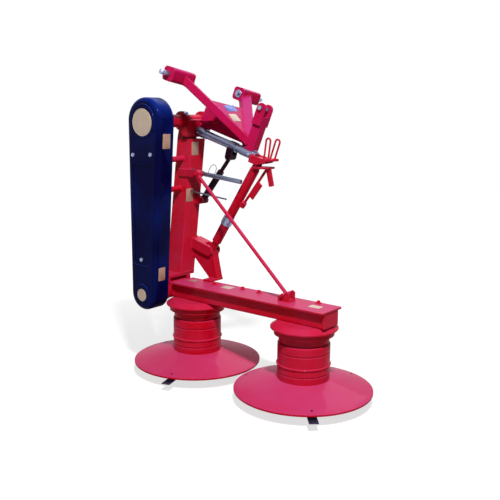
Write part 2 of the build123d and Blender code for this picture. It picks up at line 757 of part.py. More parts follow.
# Storage post on a boss of the column, and a thin peg under it
post_tilt = math.radians(POST_TILT)
post_dir = Vector(math.cos(post_tilt), 0, -math.sin(post_tilt))
post_z = fold_z + POST_RISE
post_root = Vector(column_face(post_z), POST_Y, post_z)
peg_z = fold_z + PEG_RISE
peg_root = Vector(column_face(peg_z), POST_Y, peg_z)
with BuildPart() as storage_post:
    with BuildSketch(Plane(origin=post_root - post_dir * POST_SEAT, z_dir=post_dir)):
        Circle(POST_BOSS_R)
    extrude(amount=POST_SEAT + POST_ROOT)
    with BuildSketch(Plane(origin=post_root + post_dir * POST_ROOT, z_dir=post_dir)):
        Circle(POST_R)
    extrude(amount=POST_L)
    with BuildSketch(Plane(origin=peg_root - post_dir * POST_SEAT, z_dir=post_dir)):
        Circle(PEG_R)
    extrude(amount=POST_SEAT + PEG_L)
    add(arm_column.part, mode=Mode.SUBTRACT)
pieces["storage_post"] = storage_post

# Tie rod: eye on the column's lug, foot with a cross bar in the cradle
tie_top_x = fold_x + TIE_TOP_OUT
tie_top_z = fold_z + TIE_TOP_RISE
tie_top = Vector(tie_top_x, TIE_TOP_Y, tie_top_z)
tie_foot = Vector(tie_foot_x, 0, tie_foot_z)
with BuildPart() as tie_lug:
    with BuildSketch(xz_plane(TIE_TOP_Y + TIE_EYE_W / 2 + SEAT + TIE_LUG_T)):
        with Locations((tie_top_x, tie_top_z)):
            Circle(TIE_EYE_R)
        with BuildLine():
            Polyline(
                (column_face(tie_top_z) - TIE_LUG_STRAP, tie_top_z - TIE_EYE_R),
                (tie_top_x, tie_top_z - TIE_EYE_R),
                (tie_top_x, tie_top_z + TIE_EYE_R),
                (column_face(tie_top_z) - TIE_LUG_STRAP, tie_top_z + TIE_EYE_R),
                close=True,
            )
        make_face()
    extrude(amount=TIE_LUG_T)
    with BuildSketch(xz_plane(TIE_TOP_Y + TIE_EYE_W / 2 + SEAT + TIE_LUG_T)):
        with Locations((tie_top_x, tie_top_z)):
            Circle(TIE_T_R)
    extrude(amount=TIE_EYE_W + 2 * TIE_LUG_T)
    add(arm_column.part, mode=Mode.SUBTRACT)
pieces["tie_lug"] = tie_lug

with BuildPart() as tie_rod:
    with BuildSketch(bar_plane(tie_top, tie_foot, driven)):
        Circle(TIE_R)
    extrude(amount=(tie_foot - tie_top).length)
    with BuildSketch(xz_plane(TIE_T_L / 2)):
        with Locations((tie_foot_x, tie_foot_z)):
            Circle(TIE_T_R)
    extrude(amount=TIE_T_L)
    with BuildSketch(xz_plane(TIE_TOP_Y + TIE_EYE_W / 2)):
        with Locations((tie_top_x, tie_top_z)):
            Circle(TIE_EYE_R)
    extrude(amount=TIE_EYE_W)
    with BuildSketch(xz_plane(TIE_TOP_Y + TIE_EYE_W)):
        with Locations((tie_top_x, tie_top_z)):
            Circle(TIE_T_R + RUN)
    extrude(amount=2 * TIE_EYE_W, mode=Mode.SUBTRACT)
pieces["tie_rod"] = tie_rod

# Headstock: bridge across the shaft's start, cheeks round the top axis, shaft and collar
bridge_low_y = CHEEK_FRONT_Y - SLEW_Y
bridge_high_y = CHEEK_BACK_Y + CHEEK_T - SLEW_Y
with BuildPart() as head_bridge:
    with BuildSketch(head.offset(SHAFT_START)):
        with Locations(((bridge_low_y + bridge_high_y) / 2, (BRIDGE_HIGH - BRIDGE_LOW) / 2)):
            RectangleRounded(bridge_high_y - bridge_low_y, BRIDGE_HIGH + BRIDGE_LOW, COLUMN_EDGE_R)
        Circle(SHAFT_R, mode=Mode.SUBTRACT)
    extrude(amount=BRIDGE_T)
pieces["head_bridge"] = head_bridge

with BuildPart() as head_cheeks:
    for cheek_y in (CHEEK_FRONT_Y, CHEEK_BACK_Y):
        with BuildSketch(xz_plane(cheek_y + CHEEK_T)):
            with Locations((arm_top_x, arm_top_z)):
                Circle(CHEEK_R)
            corners = [head_point(SHAFT_START, BRIDGE_HIGH), head_point(SHAFT_START, -BRIDGE_LOW)]
            with BuildLine():
                Polyline(
                    (arm_top_x - HOUSING_R / 2, arm_top_z + CHEEK_R - HOUSING_R / 4),
                    *[(corner.X, corner.Z) for corner in corners],
                    (arm_top_x - HOUSING_R / 2, arm_top_z - CHEEK_R + HOUSING_R / 4),
                    close=True,
                )
            make_face()
            with Locations((arm_top_x, arm_top_z)):
                Circle(HOUSING_R + RUN, mode=Mode.SUBTRACT)
        extrude(amount=CHEEK_T)
    add(head_bridge.part, mode=Mode.SUBTRACT)
pieces["head_cheeks"] = head_cheeks

with BuildPart() as slew_shaft:
    with BuildSketch(head.offset(SHAFT_START)):
        Circle(SHAFT_R)
    extrude(amount=SHAFT_END - SHAFT_START)
pieces["slew_shaft"] = slew_shaft

ram_high = head_point(RAM_HIGH_U, RAM_HIGH_N)
with BuildPart() as ram_collar:
    with BuildSketch(head.offset(RAM_HIGH_U - COLLAR_W / 2)):
        Circle(COLLAR_R)
        Circle(SHAFT_R, mode=Mode.SUBTRACT)
    extrude(amount=COLLAR_W)
pieces["ram_collar"] = ram_collar

with BuildPart() as ram_lug:
    for ear_y in (LINK_Y + ram_ear_inner + EAR_T, LINK_Y - ram_ear_inner):
        with BuildSketch(Plane(origin=head_point(RAM_HIGH_U, 0, ear_y), x_dir=along, z_dir=(0, -1, 0))):
            with Locations((0, RAM_HIGH_N)):
                Circle(RAM_EYE_R)
            with Locations((0, (RAM_HIGH_N - COLLAR_R + EAR_T) / 2)):
                Rectangle(2 * RAM_EYE_R, COLLAR_R - EAR_T - RAM_HIGH_N - 2 * EAR_T)
        extrude(amount=EAR_T)
    with BuildSketch(xz_plane(LINK_Y + ram_ear_inner + EAR_T)):
        with Locations((ram_high.X, ram_high.Z)):
            Circle(LINK_PIN_R)
    extrude(amount=2 * (ram_ear_inner + EAR_T))
    add(slew_shaft.part, mode=Mode.SUBTRACT)
    add(ram_collar.part, mode=Mode.SUBTRACT)
pieces["ram_lug"] = ram_lug

# Bracket on the shaft's end for the strut's head, with its pin and a shelf for the lock pins
strut_high = head_point(STRUT_HIGH_U, STRUT_HIGH_N)
strut_ear_inner = STRUT_EYE_W / 2 + PLAY
bracket_start = SHAFT_END - BRIDGE_T
shelf_start = head_point(SHELF_U, SHELF_N)
with BuildPart() as strut_bracket:
    with BuildSketch(head.offset(bracket_start)):
        with Locations((LINK_Y - SLEW_Y, STRUT_HIGH_N)):
            RectangleRounded(2 * (strut_ear_inner + EAR_T), 2 * STRUT_EYE_R, EAR_T / 2)
        Circle(SHAFT_R, mode=Mode.SUBTRACT)
    extrude(amount=BRIDGE_T)
    for ear_y in (LINK_Y + strut_ear_inner + EAR_T, LINK_Y - strut_ear_inner):
        with BuildSketch(Plane(origin=head_point(SHAFT_END, 0, ear_y), x_dir=along, z_dir=(0, -1, 0))):
            with Locations((STRUT_HIGH_U - SHAFT_END, STRUT_HIGH_N)):
                Circle(STRUT_EYE_R)
            with Locations(((STRUT_HIGH_U - SHAFT_END - BRIDGE_T) / 2, STRUT_HIGH_N)):
                Rectangle(STRUT_HIGH_U - SHAFT_END + BRIDGE_T, 2 * STRUT_EYE_R)
            with Locations((SHELF_U + 2 * EAR_T - SHAFT_END, SHELF_N)):
                Circle(EAR_T)
            make_hull()
        extrude(amount=EAR_T)
    with BuildSketch(xz_plane(LINK_Y + strut_ear_inner + EAR_T)):
        with Locations((shelf_start.X + SHELF_L / 2, shelf_start.Z)):
            RectangleRounded(SHELF_L, SHELF_T, SHELF_T / 4)
    extrude(amount=2 * (strut_ear_inner + EAR_T))
    with BuildSketch(xz_plane(LINK_Y + strut_ear_inner + EAR_T)):
        with Locations((strut_high.X, strut_high.Z)):
            Circle(LINK_PIN_R)
    extrude(amount=2 * (strut_ear_inner + EAR_T))
    add(slew_shaft.part, mode=Mode.SUBTRACT)
pieces["strut_bracket"] = strut_bracket

# Lock pins: two bent-rod loops that stand in the shelf
with BuildPart() as lock_pins:
    for loop_start, loop_y, lean in LOOP_ROWS:
        turned = math.radians(lean)
        foot = shelf_start + Vector(loop_start, loop_y, LOOP_W * math.sin(turned) / 2)
        loop_plane = Plane(origin=foot, x_dir=(math.cos(turned), 0, -math.sin(turned)), z_dir=(0, -1, 0))
        with BuildLine(loop_plane) as loop:
            FilletPolyline((0, 0), (0, LOOP_H), (LOOP_W, LOOP_H), (LOOP_W, 0), radius=LOOP_BEND)
        with BuildSketch(Plane(origin=loop.line @ 0, z_dir=loop.line % 0)):
            Circle(LOOP_R)
        sweep(path=loop.line)
    add(strut_bracket.part, mode=Mode.SUBTRACT)
pieces["lock_pins"] = lock_pins

# Strut: sliding rod on the knee's pin, tube and collar up to the bracket
strut_low = Vector(strut_low_x, LINK_Y, strut_low_z)
strut_length = (strut_high - strut_low).length
strut_plane = bar_plane(strut_low, strut_high, driven)
tube_from = STRUT_TUBE_FROM * strut_length
flange_z = strut_high.Z - FLANGE_DROP
with BuildPart() as strut_rod:
    with BuildSketch(strut_plane):
        Circle(STRUT_ROD_R)
    extrude(amount=STRUT_ROD_TO * strut_length)
    with BuildSketch(strut_plane.offset(STRUT_JACKET_FROM)):
        Circle(STRUT_JACKET_R)
    extrude(amount=tube_from - PLAY - STRUT_JACKET_FROM)
    with BuildSketch(xz_plane(LINK_Y + STRUT_EYE_W / 2)):
        with Locations((strut_low_x, strut_low_z)):
            Circle(STRUT_EYE_R)
    extrude(amount=STRUT_EYE_W)
    with BuildSketch(xz_plane(LINK_Y + STRUT_EYE_W)):
        with Locations((strut_low_x, strut_low_z)):
            Circle(LINK_PIN_R + RUN)
    extrude(amount=2 * STRUT_EYE_W, mode=Mode.SUBTRACT)
pieces["strut_rod"] = strut_rod

with BuildPart() as strut_tube:
    with BuildSketch(strut_plane.offset(tube_from)):
        Circle(STRUT_TUBE_R)
    extrude(amount=strut_length - tube_from - STRUT_NECK)
    with BuildSketch(strut_plane.offset(strut_length - STRUT_NECK)):
        Rectangle(STRUT_EYE_W, STRUT_NECK_T)
    extrude(amount=STRUT_NECK)
    with BuildSketch(xz_plane(LINK_Y + strut_ear_inner + EAR_T)):
        with Locations((strut_high.X + (FLANGE_AHEAD - FLANGE_BACK) / 2, flange_z)):
            RectangleRounded(FLANGE_AHEAD + FLANGE_BACK, FLANGE_T, FLANGE_T / 4)
    extrude(amount=2 * (strut_ear_inner + EAR_T))
    tab_top = Location((strut_high.X + FLANGE_AHEAD - TAB_W / 2, flange_z), TAB_LEAN)
    with BuildSketch(xz_plane(LINK_Y + TAB_T / 2)):
        with Locations(tab_top):
            with Locations((0, -TAB_L / 2)):
                RectangleRounded(TAB_W, TAB_L, TAB_T / 2)
    extrude(amount=TAB_T)
    with BuildSketch(xz_plane(LINK_Y + STRUT_EYE_W / 2)):
        with Locations((strut_high.X, strut_high.Z)):
            Circle(STRUT_EYE_R)
    extrude(amount=STRUT_EYE_W)
    with BuildSketch(strut_plane.offset(tube_from)):
        Circle(STRUT_ROD_R + RUN)
    extrude(amount=STRUT_ROD_TO * strut_length - tube_from + PLAY, mode=Mode.SUBTRACT)
    with BuildSketch(xz_plane(LINK_Y + STRUT_EYE_W)):
        with Locations((strut_high.X, strut_high.Z)):
            Circle(LINK_PIN_R + STRUT_FLOAT)
    extrude(amount=2 * STRUT_EYE_W, mode=Mode.SUBTRACT)
pieces["strut_tube"] = strut_tube

with BuildPart() as strut_collar:
    with BuildSketch(strut_plane.offset(tube_from)):
        Circle(STRUT_COLLAR_R)
        Circle(STRUT_TUBE_R, mode=Mode.SUBTRACT)
    extrude(amount=STRUT_COLLAR_L)
pieces["strut_collar"] = strut_collar

# Side rod from the flange down to a clip on the tube, with a flat lever
strut_dir = (strut_high - strut_low).normalized()
strut_side = Vector(strut_dir.Z, 0, -strut_dir.X)
rod_top = Vector(strut_high.X + SIDE_ROD_AHEAD, LINK_Y, flange_z - FLANGE_T / 2)
rod_end = strut_low + strut_dir * (SIDE_ROD_END * strut_length) + strut_side * SIDE_ROD_OFF
rod_plane = bar_plane(rod_end, rod_top, driven)
rod_length = (rod_top - rod_end).length
with BuildPart() as strut_side_rod:
    with BuildSketch(rod_plane):
        Circle(SIDE_ROD_R)
    extrude(amount=rod_length)
    with BuildSketch(rod_plane):
        Circle(CLIP_R)
    extrude(amount=CLIP_L)
    with BuildSketch(rod_plane.offset(LEVER_FROM * rod_length)):
        with Locations((0, -LEVER_W / 2)):
            Rectangle(LEVER_T, LEVER_W)
    extrude(amount=LEVER_L)
    add(strut_tube.part, mode=Mode.SUBTRACT)
pieces["strut_side_rod"] = strut_side_rod

# Ram: barrel on the column's ears, rod up to the collar under the slew shaft
ram_low = Vector(ram_low_x, LINK_Y, ram_low_z)
ram_length = (ram_high - ram_low).length
ram_plane = bar_plane(ram_low, ram_high, driven)
with BuildPart() as ram_barrel:
    with BuildSketch(ram_plane.offset(RAM_EYE_R / 2)):
        Circle(RAM_BARREL_R)
    extrude(amount=RAM_BARREL_L - RAM_EYE_R / 2)
    with BuildSketch(xz_plane(LINK_Y + RAM_BARREL_R)):
        with Locations((ram_low.X, ram_low.Z)):
            Circle(RAM_EYE_R + PLAY)
    extrude(amount=RAM_BARREL_R - RAM_EYE_W / 2, mode=Mode.SUBTRACT)
    with BuildSketch(xz_plane(LINK_Y - RAM_EYE_W / 2)):
        with Locations((ram_low.X, ram_low.Z)):
            Circle(RAM_EYE_R + PLAY)
    extrude(amount=RAM_BARREL_R - RAM_EYE_W / 2, mode=Mode.SUBTRACT)
    with BuildSketch(xz_plane(LINK_Y + RAM_EYE_W / 2)):
        with Locations((ram_low.X, ram_low.Z)):
            Circle(RAM_EYE_R)
    extrude(amount=RAM_EYE_W)
    with BuildSketch(xz_plane(LINK_Y + RAM_BARREL_R)):
        with Locations((ram_low.X, ram_low.Z)):
            Circle(LINK_PIN_R + RUN)
    extrude(amount=2 * RAM_BARREL_R, mode=Mode.SUBTRACT)
    with BuildSketch(ram_plane.offset(RAM_ROD_IN - PLAY)):
        Circle(RAM_ROD_R + RUN)
    extrude(amount=RAM_BARREL_L, mode=Mode.SUBTRACT)
pieces["ram_barrel"] = ram_barrel

with BuildPart() as ram_rod:
    with BuildSketch(ram_plane.offset(RAM_ROD_IN)):
        Circle(RAM_ROD_R)
    extrude(amount=ram_length - RAM_ROD_IN)
    with BuildSketch(xz_plane(LINK_Y + RAM_EYE_W / 2)):
        with Locations((ram_high.X, ram_high.Z)):
            Circle(RAM_EYE_R)
    extrude(amount=RAM_EYE_W)
    with BuildSketch(xz_plane(LINK_Y + RAM_EYE_W)):
        with Locations((ram_high.X, ram_high.Z)):
            Circle(LINK_PIN_R + RAM_FLOAT)
    extrude(amount=2 * RAM_EYE_W, mode=Mode.SUBTRACT)
pieces["ram_rod"] = ram_rod

# Hitch: two sleeves on the slew shaft, joined by a web that clears the ram's collar
with BuildPart() as hitch_sleeves:
    for start_u, length in ((SLEEVE_LOW_U, SLEEVE_LOW_L), (SLEEVE_HIGH_U, SLEEVE_HIGH_L)):
        with BuildSketch(hitch.offset(start_u)):
            Circle(SLEEVE_R)
            Circle(SHAFT_R + RUN, mode=Mode.SUBTRACT)
        extrude(amount=length)
pieces["hitch_sleeves"] = hitch_sleeves

sleeve_low_end = SLEEVE_LOW_U + SLEEVE_LOW_L
sleeve_high_end = SLEEVE_HIGH_U + SLEEVE_HIGH_L
with BuildPart() as hitch_web:
    with BuildSketch(hitch_side.offset(-WEB_T / 2)):
        with BuildLine():
            Polyline(
                (SLEEVE_LOW_U, 0),
                (sleeve_low_end, 0),
                (sleeve_low_end + WEB_CLEAR, COLLAR_R + WEB_CLEAR),
                (SLEEVE_HIGH_U - WEB_CLEAR, COLLAR_R + WEB_CLEAR),
                (SLEEVE_HIGH_U, 0),
                (sleeve_high_end, 0),
                (sleeve_high_end, LEG_FOOT_N),
                (SLEEVE_LOW_U, WEB_OUT),
                close=True,
            )
        make_face()
    extrude(amount=WEB_T)
    with BuildSketch(hitch):
        Circle(SLEEVE_R)
    extrude(amount=SHAFT_END, mode=Mode.SUBTRACT)
pieces["hitch_web"] = hitch_web

# Shelf across the web
(shelf_u, shelf_n), (shelf_end_u, shelf_end_n) = HITCH_SHELF
shelf_slope = math.degrees(math.atan2(shelf_end_n - shelf_n, shelf_end_u - shelf_u))
with BuildPart() as hitch_shelf:
    with BuildSketch(hitch_side.offset(-HITCH_SHELF_W / 2)):
        with Locations(Location(((shelf_u + shelf_end_u) / 2, (shelf_n + shelf_end_n) / 2), shelf_slope)):
            Rectangle(math.hypot(shelf_end_u - shelf_u, shelf_end_n - shelf_n), HITCH_SHELF_T)
    extrude(amount=HITCH_SHELF_W)
    add(hitch_web.part, mode=Mode.SUBTRACT)
pieces["hitch_shelf"] = hitch_shelf

# Lower-link bosses and pins, legs from the high sleeve out to them
with BuildPart() as hitch_bosses:
    for hand in (-1, 1):
        root = hitch.from_local_coords((hand * BOSS_INNER, LOWER_N, LOWER_U))
        with BuildSketch(Plane(origin=root, x_dir=along, z_dir=across * hand)):
            RectangleRounded(2 * BOSS_R, 2 * BOSS_R, BOSS_R / 2)
        extrude(amount=LOWER_SPAN / 2 - BOSS_INNER)
pieces["hitch_bosses"] = hitch_bosses

with BuildPart() as lower_pins:
    for hand in (-1, 1):
        root = hitch.from_local_coords((hand * LOWER_SPAN / 2, LOWER_N, LOWER_U))
        with BuildSketch(Plane(origin=root, x_dir=along, z_dir=across * hand)):
            Circle(LOWER_PIN_R)
        extrude(amount=LOWER_PIN_L)
    chamfer(lower_pins.faces().sort_by(Axis.Y)[0].edges(), LOWER_PIN_R / 4)
    chamfer(lower_pins.faces().sort_by(Axis.Y)[-1].edges(), LOWER_PIN_R / 4)
pieces["lower_pins"] = lower_pins

leg_foot = hitch.from_local_coords((0, LEG_FOOT_N, LEG_FOOT_U))
with BuildPart() as hitch_legs:
    for hand in (-1, 1):
        leg_end = hitch.from_local_coords((hand * (BOSS_INNER + LEG_W), LOWER_N, LOWER_U))
        with BuildSketch(bar_plane(leg_foot, leg_end, out)):
            RectangleRounded(LEG_T, LEG_W, LEG_T / 8)
        extrude(amount=(leg_end - leg_foot).length)
    with BuildSketch(hitch_side.offset(-WEB_T / 2)):
        with Locations((LEG_FOOT_U, LEG_FOOT_N)):
            Rectangle(2 * SHAFT_END, 2 * SHAFT_END)
    extrude(amount=WEB_T, mode=Mode.SUBTRACT)
    add(hitch_bosses.part, mode=Mode.SUBTRACT)
    with BuildSketch(hitch):
        Circle(SLEEVE_R)
    extrude(amount=SHAFT_END, mode=Mode.SUBTRACT)
pieces["hitch_legs"] = hitch_legs

# Gusset between the two legs, above the web
leg_mid = hitch.from_local_coords((0, LOWER_N, LOWER_U)) - leg_foot
leg_spread = (BOSS_INNER + LEG_W) / leg_mid.length
with BuildPart() as hitch_gusset:
    with BuildSketch(Plane(origin=leg_foot, x_dir=across, z_dir=across.cross(leg_mid))):
        with BuildLine():
            Polyline(
                (0, 0),
                (GUSSET_REACH * leg_spread, GUSSET_REACH),
                (-GUSSET_REACH * leg_spread, GUSSET_REACH),
                close=True,
            )
        make_face()
    extrude(amount=GUSSET_T / 2, both=True)
    add(hitch_legs.part, mode=Mode.SUBTRACT)
    add(hitch_web.part, mode=Mode.SUBTRACT)
    with BuildSketch(hitch):
        Circle(SLEEVE_R)
    extrude(amount=SHAFT_END, mode=Mode.SUBTRACT)
pieces["hitch_gusset"] = hitch_gusset

# Top-link leg and clevis
with BuildPart() as top_leg:
    top_leg_end = TOP_N - TOP_EAR_DEEP
    with BuildSketch(Plane(origin=hitch.from_local_coords((0, 0, TOP_U)), x_dir=along, z_dir=out)):
        Rectangle(TOP_LEG_W, TOP_EAR_GAP)
    extrude(amount=top_leg_end)
    add(hitch_web.part, mode=Mode.SUBTRACT)
    add(hitch_legs.part, mode=Mode.SUBTRACT)
    with BuildSketch(hitch):
        Circle(SLEEVE_R)
    extrude(amount=SHAFT_END, mode=Mode.SUBTRACT)
pieces["top_leg"] = top_leg

with BuildPart() as top_clevis:
    clevis_half = TOP_EAR_GAP / 2 + TOP_EAR_T
    for ear_l in (clevis_half, -TOP_EAR_GAP / 2):
        with BuildSketch(hitch_side.offset(-ear_l)):
            with Locations((TOP_U, TOP_N)):
                Circle(TOP_EAR_R)
            with Locations((TOP_U, TOP_N - TOP_EAR_L / 2)):
                Rectangle(2 * TOP_EAR_R, TOP_EAR_L)
            with Locations((TOP_U, TOP_N)):
                Circle(TOP_PIN_R, mode=Mode.SUBTRACT)
        extrude(amount=TOP_EAR_T)
pieces["top_clevis"] = top_clevis

with BuildPart() as top_pin:
    with BuildSketch(hitch_side.offset(-clevis_half - TOP_EAR_T)):
        with Locations((TOP_U, TOP_N)):
            Circle(TOP_PIN_R)
    extrude(amount=2 * (clevis_half + TOP_EAR_T))
pieces["top_pin"] = top_pin

# The origin goes to the middle of the whole machine's box, on the ground
box = Compound([piece.part for piece in pieces.values()]).bounding_box()
home = Location((-box.center().X, -box.center().Y, -box.min.Z))
for label, piece in pieces.items():
    piece.part.move(home)
    piece.part.label = label
    export_step(piece.part, f"parts/{label}.step")
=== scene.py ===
"""Finishes, trim and studio for a two-drum rotary mower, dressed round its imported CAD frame."""
import json
import math

import bmesh
import bpy
from bpy.props import FloatProperty, FloatVectorProperty, PointerProperty
from mathutils import Matrix, Vector
from mathutils.bvhtree import BVHTree


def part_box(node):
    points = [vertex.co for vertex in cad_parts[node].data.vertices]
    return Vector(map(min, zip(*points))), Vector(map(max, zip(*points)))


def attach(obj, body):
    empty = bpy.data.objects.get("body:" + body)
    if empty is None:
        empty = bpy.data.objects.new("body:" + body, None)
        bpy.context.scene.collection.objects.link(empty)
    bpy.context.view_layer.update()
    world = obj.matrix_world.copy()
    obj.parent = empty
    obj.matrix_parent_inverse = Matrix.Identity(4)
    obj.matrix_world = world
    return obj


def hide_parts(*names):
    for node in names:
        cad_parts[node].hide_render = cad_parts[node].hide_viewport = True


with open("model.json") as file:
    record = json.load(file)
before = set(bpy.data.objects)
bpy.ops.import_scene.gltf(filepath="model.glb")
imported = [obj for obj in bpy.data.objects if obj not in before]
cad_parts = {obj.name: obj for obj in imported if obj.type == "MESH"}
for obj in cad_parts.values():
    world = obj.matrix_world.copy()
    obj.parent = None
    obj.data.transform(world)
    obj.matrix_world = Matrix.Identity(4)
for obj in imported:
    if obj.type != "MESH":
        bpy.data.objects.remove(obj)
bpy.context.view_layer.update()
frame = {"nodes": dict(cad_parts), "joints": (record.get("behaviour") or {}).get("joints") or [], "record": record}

bl_info = {
    "name": "Drum Mower Dressing",
    "version": (1, 0, 0),
    "blender": (4, 5, 0),
    "location": "View3D > Sidebar > Mower",
    "description": "Paints a two-drum mower, adds its bolts, welds and blank labels, and sets the studio",
    "category": "Object",
}

MM = 0.001
PHOTO_SIZE = 500

# The mower is driven along +Y at work
UP = Vector((0, 0, 1))
FORWARD = Vector((0, 1, 0))

# The photograph's camera, from the middle between the drums on the ground
CAMERA_PLACE = Vector((2.5288, -3.1455, 1.5492))
CAMERA_RIGHT = Vector((0.78020, 0.62549, 0.00725))
CAMERA_UP = Vector((-0.12160, 0.14029, 0.98261))
CAMERA_LENS = 52.44
CAMERA_SENSOR = 36.0

# A search for a node's face starts this far outside the node, in metres
SEARCH_RUN = 0.3

# Edges sharper than this stay sharp on the small pieces
SHARP_ANGLE = math.radians(38)

# Sizes of the finishes' patterns, in millimetres
FADE_PATCH = 260
PAINT_CHIP = 14
PAINT_EDGE = 3.5
ORANGE_PEEL = 5  # about 2 on real paint, drawn larger so that it shows
PEEL_DEPTH = 0.4
PLATING_CLOUD = 60
TOOL_MARK_DEPTH = 0.2
VINYL_PATCH = 45
PAPER_FIBRE = 400

# Small forms, from foot to top, as shares of their own size
# Turned ones: radius, height
BOLT_WASHER = ((0, 0), (1, 0), (1, 0.112), (0.94, 0.16), (0, 0.16))
SCREW_HEAD = ((0, 0), (1, 0), (1, 0.2), (0.86, 0.5), (0.5, 0.68), (0.34, 0.5), (0, 0.5))
NIPPLE_NECK = ((0, 0.3), (0.24, 0.3), (0.2, 0.6), (0.29, 0.72), (0.29, 0.84), (0.18, 1), (0, 1))
# Hexagons: scale of the outline, height
BOLT_HEAD = ((1, 0.16), (1, 0.66), (0.86, 0.78))
NIPPLE_FOOT = ((1, 0), (1, 0.3), (0.85, 0.36))
NIPPLE_FOOT_RADIUS = 0.4


def linear(code):
    """Linear colour of an sRGB hex code."""
    parts = [int(code[i:i + 2], 16) / 255 for i in (1, 3, 5)]
    return tuple(p / 12.92 if p <= 0.04045 else ((p + 0.055) / 1.055) ** 2.4 for p in parts)


# Second tones of the finishes: the specular and sheen tints, both painted sky reflection; worn edges, also a
# painted highlight; faded tones, real fading in patches and painted sky light on faces that look up; and stains
RED_SKY_GLEAM = linear("#C08CF0")
RED_SKY_SHEEN = linear("#9AA2FF")
HITCH_FADED_AND_SKY_LIT = linear("#B82478")
HITCH_SKY_SHEEN = linear("#6A3CB0")
NAVY_WORN_AND_HIGHLIT = linear("#3C4A9C")
NAVY_FADED_AND_SKY_LIT = linear("#0E2C8C")
NAVY_SKY_GLEAM = linear("#7C9CF0")
NAVY_SKY_SHEEN = linear("#101C70")
BLACK_WORN_AND_HIGHLIT = linear("#5A3A48")
BLACK_FADED_AND_SKY_LIT = linear("#301624")
BLACK_SKY_SHEEN = linear("#5A4A70")
STEEL_STAIN = linear("#868FB0")
ZINC_STAIN = linear("#76809C")
TEMPERED_STAIN = linear("#2E3650")
CREAM_SHADE = linear("#B49E8C")
TAN_SHADE = linear("#9C7866")
BLUE_SHADE = linear("#3A5CB4")
PAPER_SHADE = linear("#A2A2A2")


def joint(name):
    """A joint of the frame."""
    return next(j for j in frame["joints"] if j["name"] == name)


def joint_place(name):
    """Point on a joint's axis."""
    return Vector(joint(name)["pos_m"])


def joint_axis(name):
    """Direction of a joint's axis."""
    return Vector(joint(name)["axis"]).normalized()


def mount(name):
    """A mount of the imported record."""
    return next(m for m in frame["record"]["mounts"] if m["name"] == name)


def drum_mid():
    """Middle between the two drums' axes, on the ground."""
    left_low, left_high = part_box("drum_left")
    right_low, right_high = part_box("drum_right")
    mid = (left_low + left_high + right_low + right_high) / 4
    return Vector((mid.x, mid.y, 0))


node_trees = {}


def node_tree(node):
    """Search tree over a CAD node's faces, made once."""
    if node not in node_trees:
        mesh = frame["nodes"][node].data
        node_trees[node] = BVHTree.FromPolygons(
            [v.co for v in mesh.vertices], [p.vertices for p in mesh.polygons]
        )
    return node_trees[node]


def touch(node, start, direction):
    """Point and outward normal where a ray meets a CAD node."""
    point, normal, _, _ = node_tree(node).ray_cast(start, direction.normalized())
    if point is None:
        raise RuntimeError(f"nothing of {node} lies that way")
    if normal.dot(direction) > 0:
        normal = -normal
    return point, normal


def seen(node, pixel):
    """Point and outward normal of a CAD node under a pixel of the photograph."""
    reach = CAMERA_LENS / CAMERA_SENSOR * PHOTO_SIZE
    ahead = CAMERA_UP.cross(CAMERA_RIGHT)
    across = (pixel[0] - PHOTO_SIZE / 2) / reach
    down = (pixel[1] - PHOTO_SIZE / 2) / reach
    return touch(node, drum_mid() + CAMERA_PLACE, ahead + CAMERA_RIGHT * across - CAMERA_UP * down)


def stand(point, normal, side=UP):
    """Matrix at a point with its Z along the normal and its Y as near as can be to the side direction."""
    z = normal.normalized()
    y = side - z * side.dot(z)
    if y.length < 1e-4:
        y = FORWARD - z * z.y
    y.normalize()
    x = y.cross(z)
    return Matrix.Translation(point) @ Matrix((x, y, z)).transposed().to_4x4()


def around(radius, count):
    """Points (x, y) spaced evenly round a circle."""
    turns = [2 * math.pi * k / count for k in range(count)]
    return [(radius * math.cos(a), radius * math.sin(a)) for a in turns]


def lathe(bm, profile, place, steps=32):
    """Turned form: profile rows are (radius, height) from foot to top, closed where the radius is 0."""
    rings = []
    for radius, height in profile:
        spots = around(radius, steps) if radius else [(0, 0)]
        rings.append([bm.verts.new(place @ Vector((x, y, height))) for x, y in spots])
    for low, high in zip(rings, rings[1:]):
        for k in range(steps):
            ahead = k + 1
            corners = (low[k % len(low)], low[ahead % len(low)], high[ahead % len(high)], high[k % len(high)])
            bm.faces.new(list(dict.fromkeys(corners)))


def prism(bm, outline, rows, place):
    """Form over a flat outline: rows are (scale, height) from foot to top, closed at both ends."""
    rings = [
        [bm.verts.new(place @ Vector((x * scale, y * scale, height))) for x, y in outline]
        for scale, height in rows
    ]
    count = len(outline)
    for low, high in zip(rings, rings[1:]):
        for k in range(count):
            bm.faces.new((low[k], low[(k + 1) % count], high[(k + 1) % count], high[k]))
    bm.faces.new(list(reversed(rings[0])))
    bm.faces.new(rings[-1])


def rounded_outline(width, height, radius, steps=5):
    """Points of a rectangle's outline with round corners."""
    points = []
    for corner, (sx, sy) in enumerate(((1, 1), (-1, 1), (-1, -1), (1, -1))):
        for k in range(steps):
            a = math.pi / 2 * (corner + k / (steps - 1))
            points.append((
                sx * (width / 2 - radius) + radius * math.cos(a),
                sy * (height / 2 - radius) + radius * math.sin(a),
            ))
    return points


def hex_bolt(bm, place, across):
    """Hexagon head with a bevelled crown on a flat washer, from its width across the flats."""
    lathe(bm, [(radius * across, height * across) for radius, height in BOLT_WASHER], place)
    hexagon = around(across / math.sqrt(3), 6)
    prism(bm, hexagon, [(scale, height * across) for scale, height in BOLT_HEAD], place)


def domed_screw(bm, place, radius):
    """Low round head with a round hollow in its middle."""
    lathe(bm, [(share * radius, height * radius) for share, height in SCREW_HEAD], place)


def grease_nipple(bm, place, size):
    """Grease nipple: hexagon foot, narrow neck and round ball head, its height given."""
    hexagon = around(NIPPLE_FOOT_RADIUS * size, 6)
    prism(bm, hexagon, [(scale, height * size) for scale, height in NIPPLE_FOOT], place)
    lathe(bm, [(radius * size, height * size) for radius, height in NIPPLE_NECK], place, steps=20)


